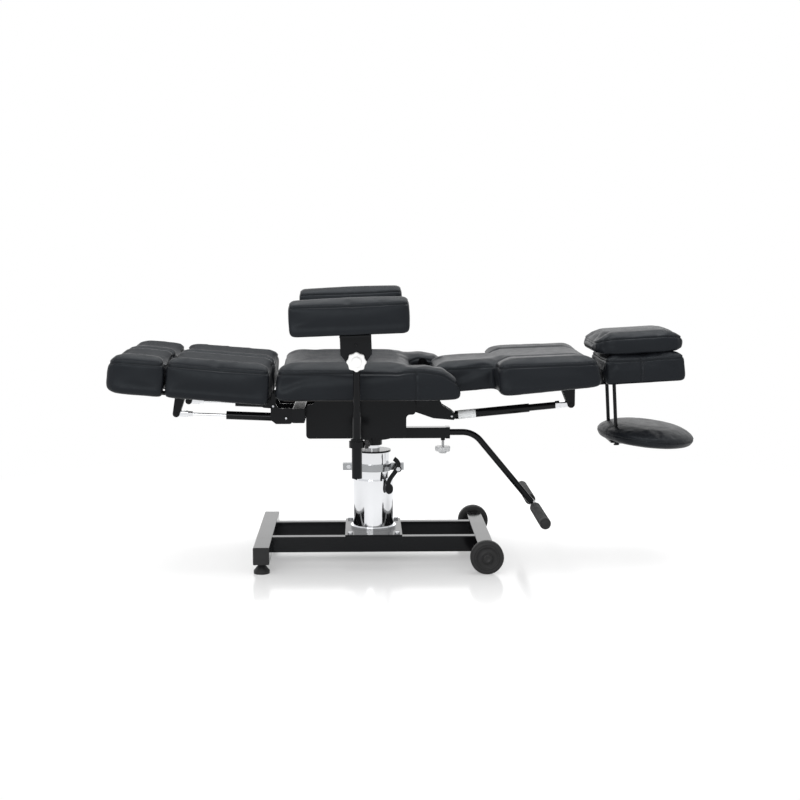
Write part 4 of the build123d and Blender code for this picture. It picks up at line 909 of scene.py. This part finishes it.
gripSettings = {
    "start": 0.066,
    "end": 0.330,
    "radius": 0.0175,
    "bore": 0.0112,
    "lip": 0.0158,
    "lipLong": 0.003,
    "ribs": 22,
    "ribSteps": 4,
    "ribDeep": 0.0007,
    "ribStart": 0.014,
    "ribEnd": 0.030,
    "endRound": 0.012,
}
lowCorner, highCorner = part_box("pedal_grips")
gripX, gripZ = (lowCorner.x + highCorner.x) / 2, (lowCorner.z + highCorner.z) / 2
for sideName, side in sides:
    s = gripSettings
    profile = [(s["start"], s["bore"]), (s["start"], s["lip"]), (s["start"] + s["lipLong"], s["radius"])]
    first, last = s["start"] + s["ribStart"], s["end"] - s["ribEnd"]
    count = s["ribs"] * s["ribSteps"]
    for k in range(count + 1):
        along = first + (last - first) * k / count
        dip = 0.5 - 0.5 * math.cos(2 * math.pi * k / s["ribSteps"])
        profile.append((along, s["radius"] - s["ribDeep"] * dip))
    bend = s["endRound"]
    profile += arc(s["end"] - bend, s["radius"] - bend, bend, bend, 0, 90)
    mesh = lathe("grip_" + sideName, profile, (gripX, 0, gripZ), (0, side, 0), 48)
    newPiece("grip_" + sideName, mesh, finishes["grip_rubber"], "pedal_bar", "grip_rubber", "pedal_grips")


# Back gas spring label

bandSettings = {"from": 0.022, "to": 0.079, "radius": 0.01425, "skin": 0.00025, "lip": 0.0003}
s = bandSettings
bandProfile = [
    (s["from"], s["radius"] - s["skin"]), (s["from"] + s["lip"], s["radius"]),
    (s["to"] - s["lip"], s["radius"]), (s["to"], s["radius"] - s["skin"]),
]
mesh = lathe("springLabel", bandProfile, rodSettings["start"], rodSettings["reach"], 64)
newPiece("springLabel", mesh, labelWhite, "back_spring_tube", "white_plastic")


# Wheel hub caps, pin centres and plate bolts

capSettings = {
    "inner": 0.2984,
    "thick": 0.008,
    "radius": 0.0145,
    "mouth": 0.0128,
    "skirt": 0.003,
    "flat": 0.0085,
    "dimple": [(0.0012, 0.0075), (0.0012, 0.0005)],
}
for sideName, side in sides:
    s = capSettings
    brim = s["inner"] + s["skirt"]
    profile = [(s["inner"], s["mouth"]), (s["inner"], s["radius"]), (brim, s["radius"])]
    profile += arc(brim, s["flat"], s["thick"] - s["skirt"], s["radius"] - s["flat"], 15, 90)
    profile += [(s["inner"] + s["thick"] - deep, radius) for deep, radius in s["dimple"]]
    hub = Vector((jointAt["wheel_spin_near"].x, 0, wheelSettings["radius"]))
    mesh = lathe("hubCap_" + sideName, profile, hub, (0, side, 0), 48)
    newPiece("hubCap_" + sideName, mesh, finishes["black_plastic"], "wheel_" + sideName, "black_plastic")

pinSettings = {
    "radius": 0.0034,
    "high": 0.0006,
    "sink": 0.0004,
    "crown": [(0.6, 1.0), (1.0, 0.8), (1.0, 0.1)],
    "backFace": 0.029,
}


def pinCentre(name, at, face, side):
    s = pinSettings
    r, h = s["radius"], s["high"]
    profile = [(-s["sink"], r)] + [(along * h, share * r) for along, share in s["crown"]]
    mesh = lathe(name, profile, (at.x, side * face, at.z), (0, side, 0), 24)
    newPiece(name, mesh, finishes["zinc"], "seat", "zinc")


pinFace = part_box("hinge_pins")[1].y
for sideName, side in sides:
    for joint in ("leg_hinge_", "leg_spring_swing_"):
        pinCentre("pinCentre_" + joint + sideName, jointAt[joint + sideName], pinFace, side)
    pinCentre("pinCentre_back_" + sideName, jointAt["back_spring_swing"], pinSettings["backFace"], side)

boltSettings = {
    "up": 0.049,
    "face": 0.3612,
    "radius": 0.0055,
    "high": 0.0022,
    "sink": 0.0003,
    "head": [(0.4, 1.0), (0.8, 0.85), (1.0, 0.6), (0.55, 0.5), (0.5, 0.05)],
}
for sideName, side in sides:
    s = boltSettings
    lean = math.radians(tilts["arm"])
    at = jointAt["arm_tilt_" + sideName]
    origin = (at.x - s["up"] * math.sin(lean), side * s["face"], at.z + s["up"] * math.cos(lean))
    r, h = s["radius"], s["high"]
    profile = [(-s["sink"], r)] + [(along * h, share * r) for along, share in s["head"]]
    mesh = lathe("plateBolt_" + sideName, profile, origin, (0, side, 0), 32)
    newPiece("plateBolt_" + sideName, mesh, finishes["black_paint"], "arm_rest_" + sideName, "black_paint")
print("small pieces done")


# Stage

floorSettings = {
    "half": 60.0,
    "tone": (0.9, 0.9, 0.9),
    "roughness": 0.14,
    "sheen": 0.4,
    "clearFrom": 0.9,
    "clearTo": 2.2,
    "lift": 0.3,
}
s = floorSettings
half = s["half"]
floorMesh = bpy.data.meshes.new("floor")
floorMesh.from_pydata([(-half, -half, 0), (half, -half, 0), (half, half, 0), (-half, half, 0)], [], [(0, 1, 2, 3)])
floor = bpy.data.objects.new("floor", floorMesh)
bpy.context.scene.collection.objects.link(floor)
ground = Finish("floorGloss", Roughness=s["roughness"], Specular_IOR_Level=s["sheen"], Base_Color=s["tone"])
away = ground.vectors("LENGTH", ground.place())
shown = ground.node("ShaderNodeLightPath", {}, out="Is Camera Ray")
shown += ground.node("ShaderNodeLightPath", {}, out="Is Glossy Ray")
clear = away.step(s["clearFrom"], s["clearTo"], s["lift"], 1.0) * shown.step(0.0, 1.0)
plain = Wire(ground, ground.shader.outputs[0])
glow = ground.node("ShaderNodeEmission", {})
join = ground.node("ShaderNodeMixShader", {}, clear, plain, glow)
ground.feed(ground.tree.nodes["Material Output"].inputs["Surface"], join)
floorMesh.materials.append(ground.material)

worldSettings = {"color": (1.0, 1.0, 1.0), "lit": 0.92, "seen": 1.0}
world = bpy.data.worlds.new("studio")
bpy.context.scene.world = world
world.use_nodes = True
sky = Board(world.node_tree)
rays = [
    sky.node("ShaderNodeLightPath", {}, out=kind)
    for kind in ("Is Camera Ray", "Is Glossy Ray", "Is Transmission Ray")
]
level = rays[0].larger(rays[1]).larger(rays[2]).step(0.0, 1.0, worldSettings["lit"], worldSettings["seen"])
backdrop = sky.tree.nodes["Background"]
sky.feed(backdrop.inputs["Strength"], level)
sky.feed(backdrop.inputs["Color"], worldSettings["color"])

lampSettings = {
    "overhead": {"place": (0.0, 0.4, 3.0), "target": (0.0, 0.0, 0.3), "size": (3.6, 2.0), "power": 70.0},
    "front": {"place": (-1.5, -4.2, 2.0), "target": (0.0, 0.0, 0.5), "size": (2.6, 1.8), "power": 60.0},
    "behind": {"place": (0.0, 4.2, 1.5), "target": (0.0, 0.0, 0.5), "size": (6.0, 2.2), "power": 24.0},
}
for name, s in lampSettings.items():
    lamp = bpy.data.lights.new(name, "AREA")
    lamp.shape = "RECTANGLE"
    lamp.size, lamp.size_y = s["size"]
    lamp.energy = s["power"]
    item = bpy.data.objects.new(name, lamp)
    bpy.context.scene.collection.objects.link(item)
    item.location = s["place"]
    item.rotation_euler = (Vector(s["target"]) - Vector(s["place"])).to_track_quat("-Z", "Y").to_euler()
    item.visible_camera = False

cameraSettings = {
    "place": (columnX - 0.0374, -4.546, 1.070),
    "down": 7.05,
    "turn": 1.57,
    "lens": 63.585,
    "film": 36.0,
}
s = cameraSettings
lens = bpy.data.cameras.new("camera")
lens.sensor_fit = "HORIZONTAL"
lens.sensor_width = s["film"]
lens.lens = s["lens"]
camera = bpy.data.objects.new("camera", lens)
bpy.context.scene.collection.objects.link(camera)
camera.location = s["place"]
camera.rotation_euler = (math.radians(90.0 - s["down"]), 0.0, math.radians(-s["turn"]))
bpy.context.scene.camera = camera
bpy.context.scene.view_settings.view_transform = "Standard"
print("stage done")
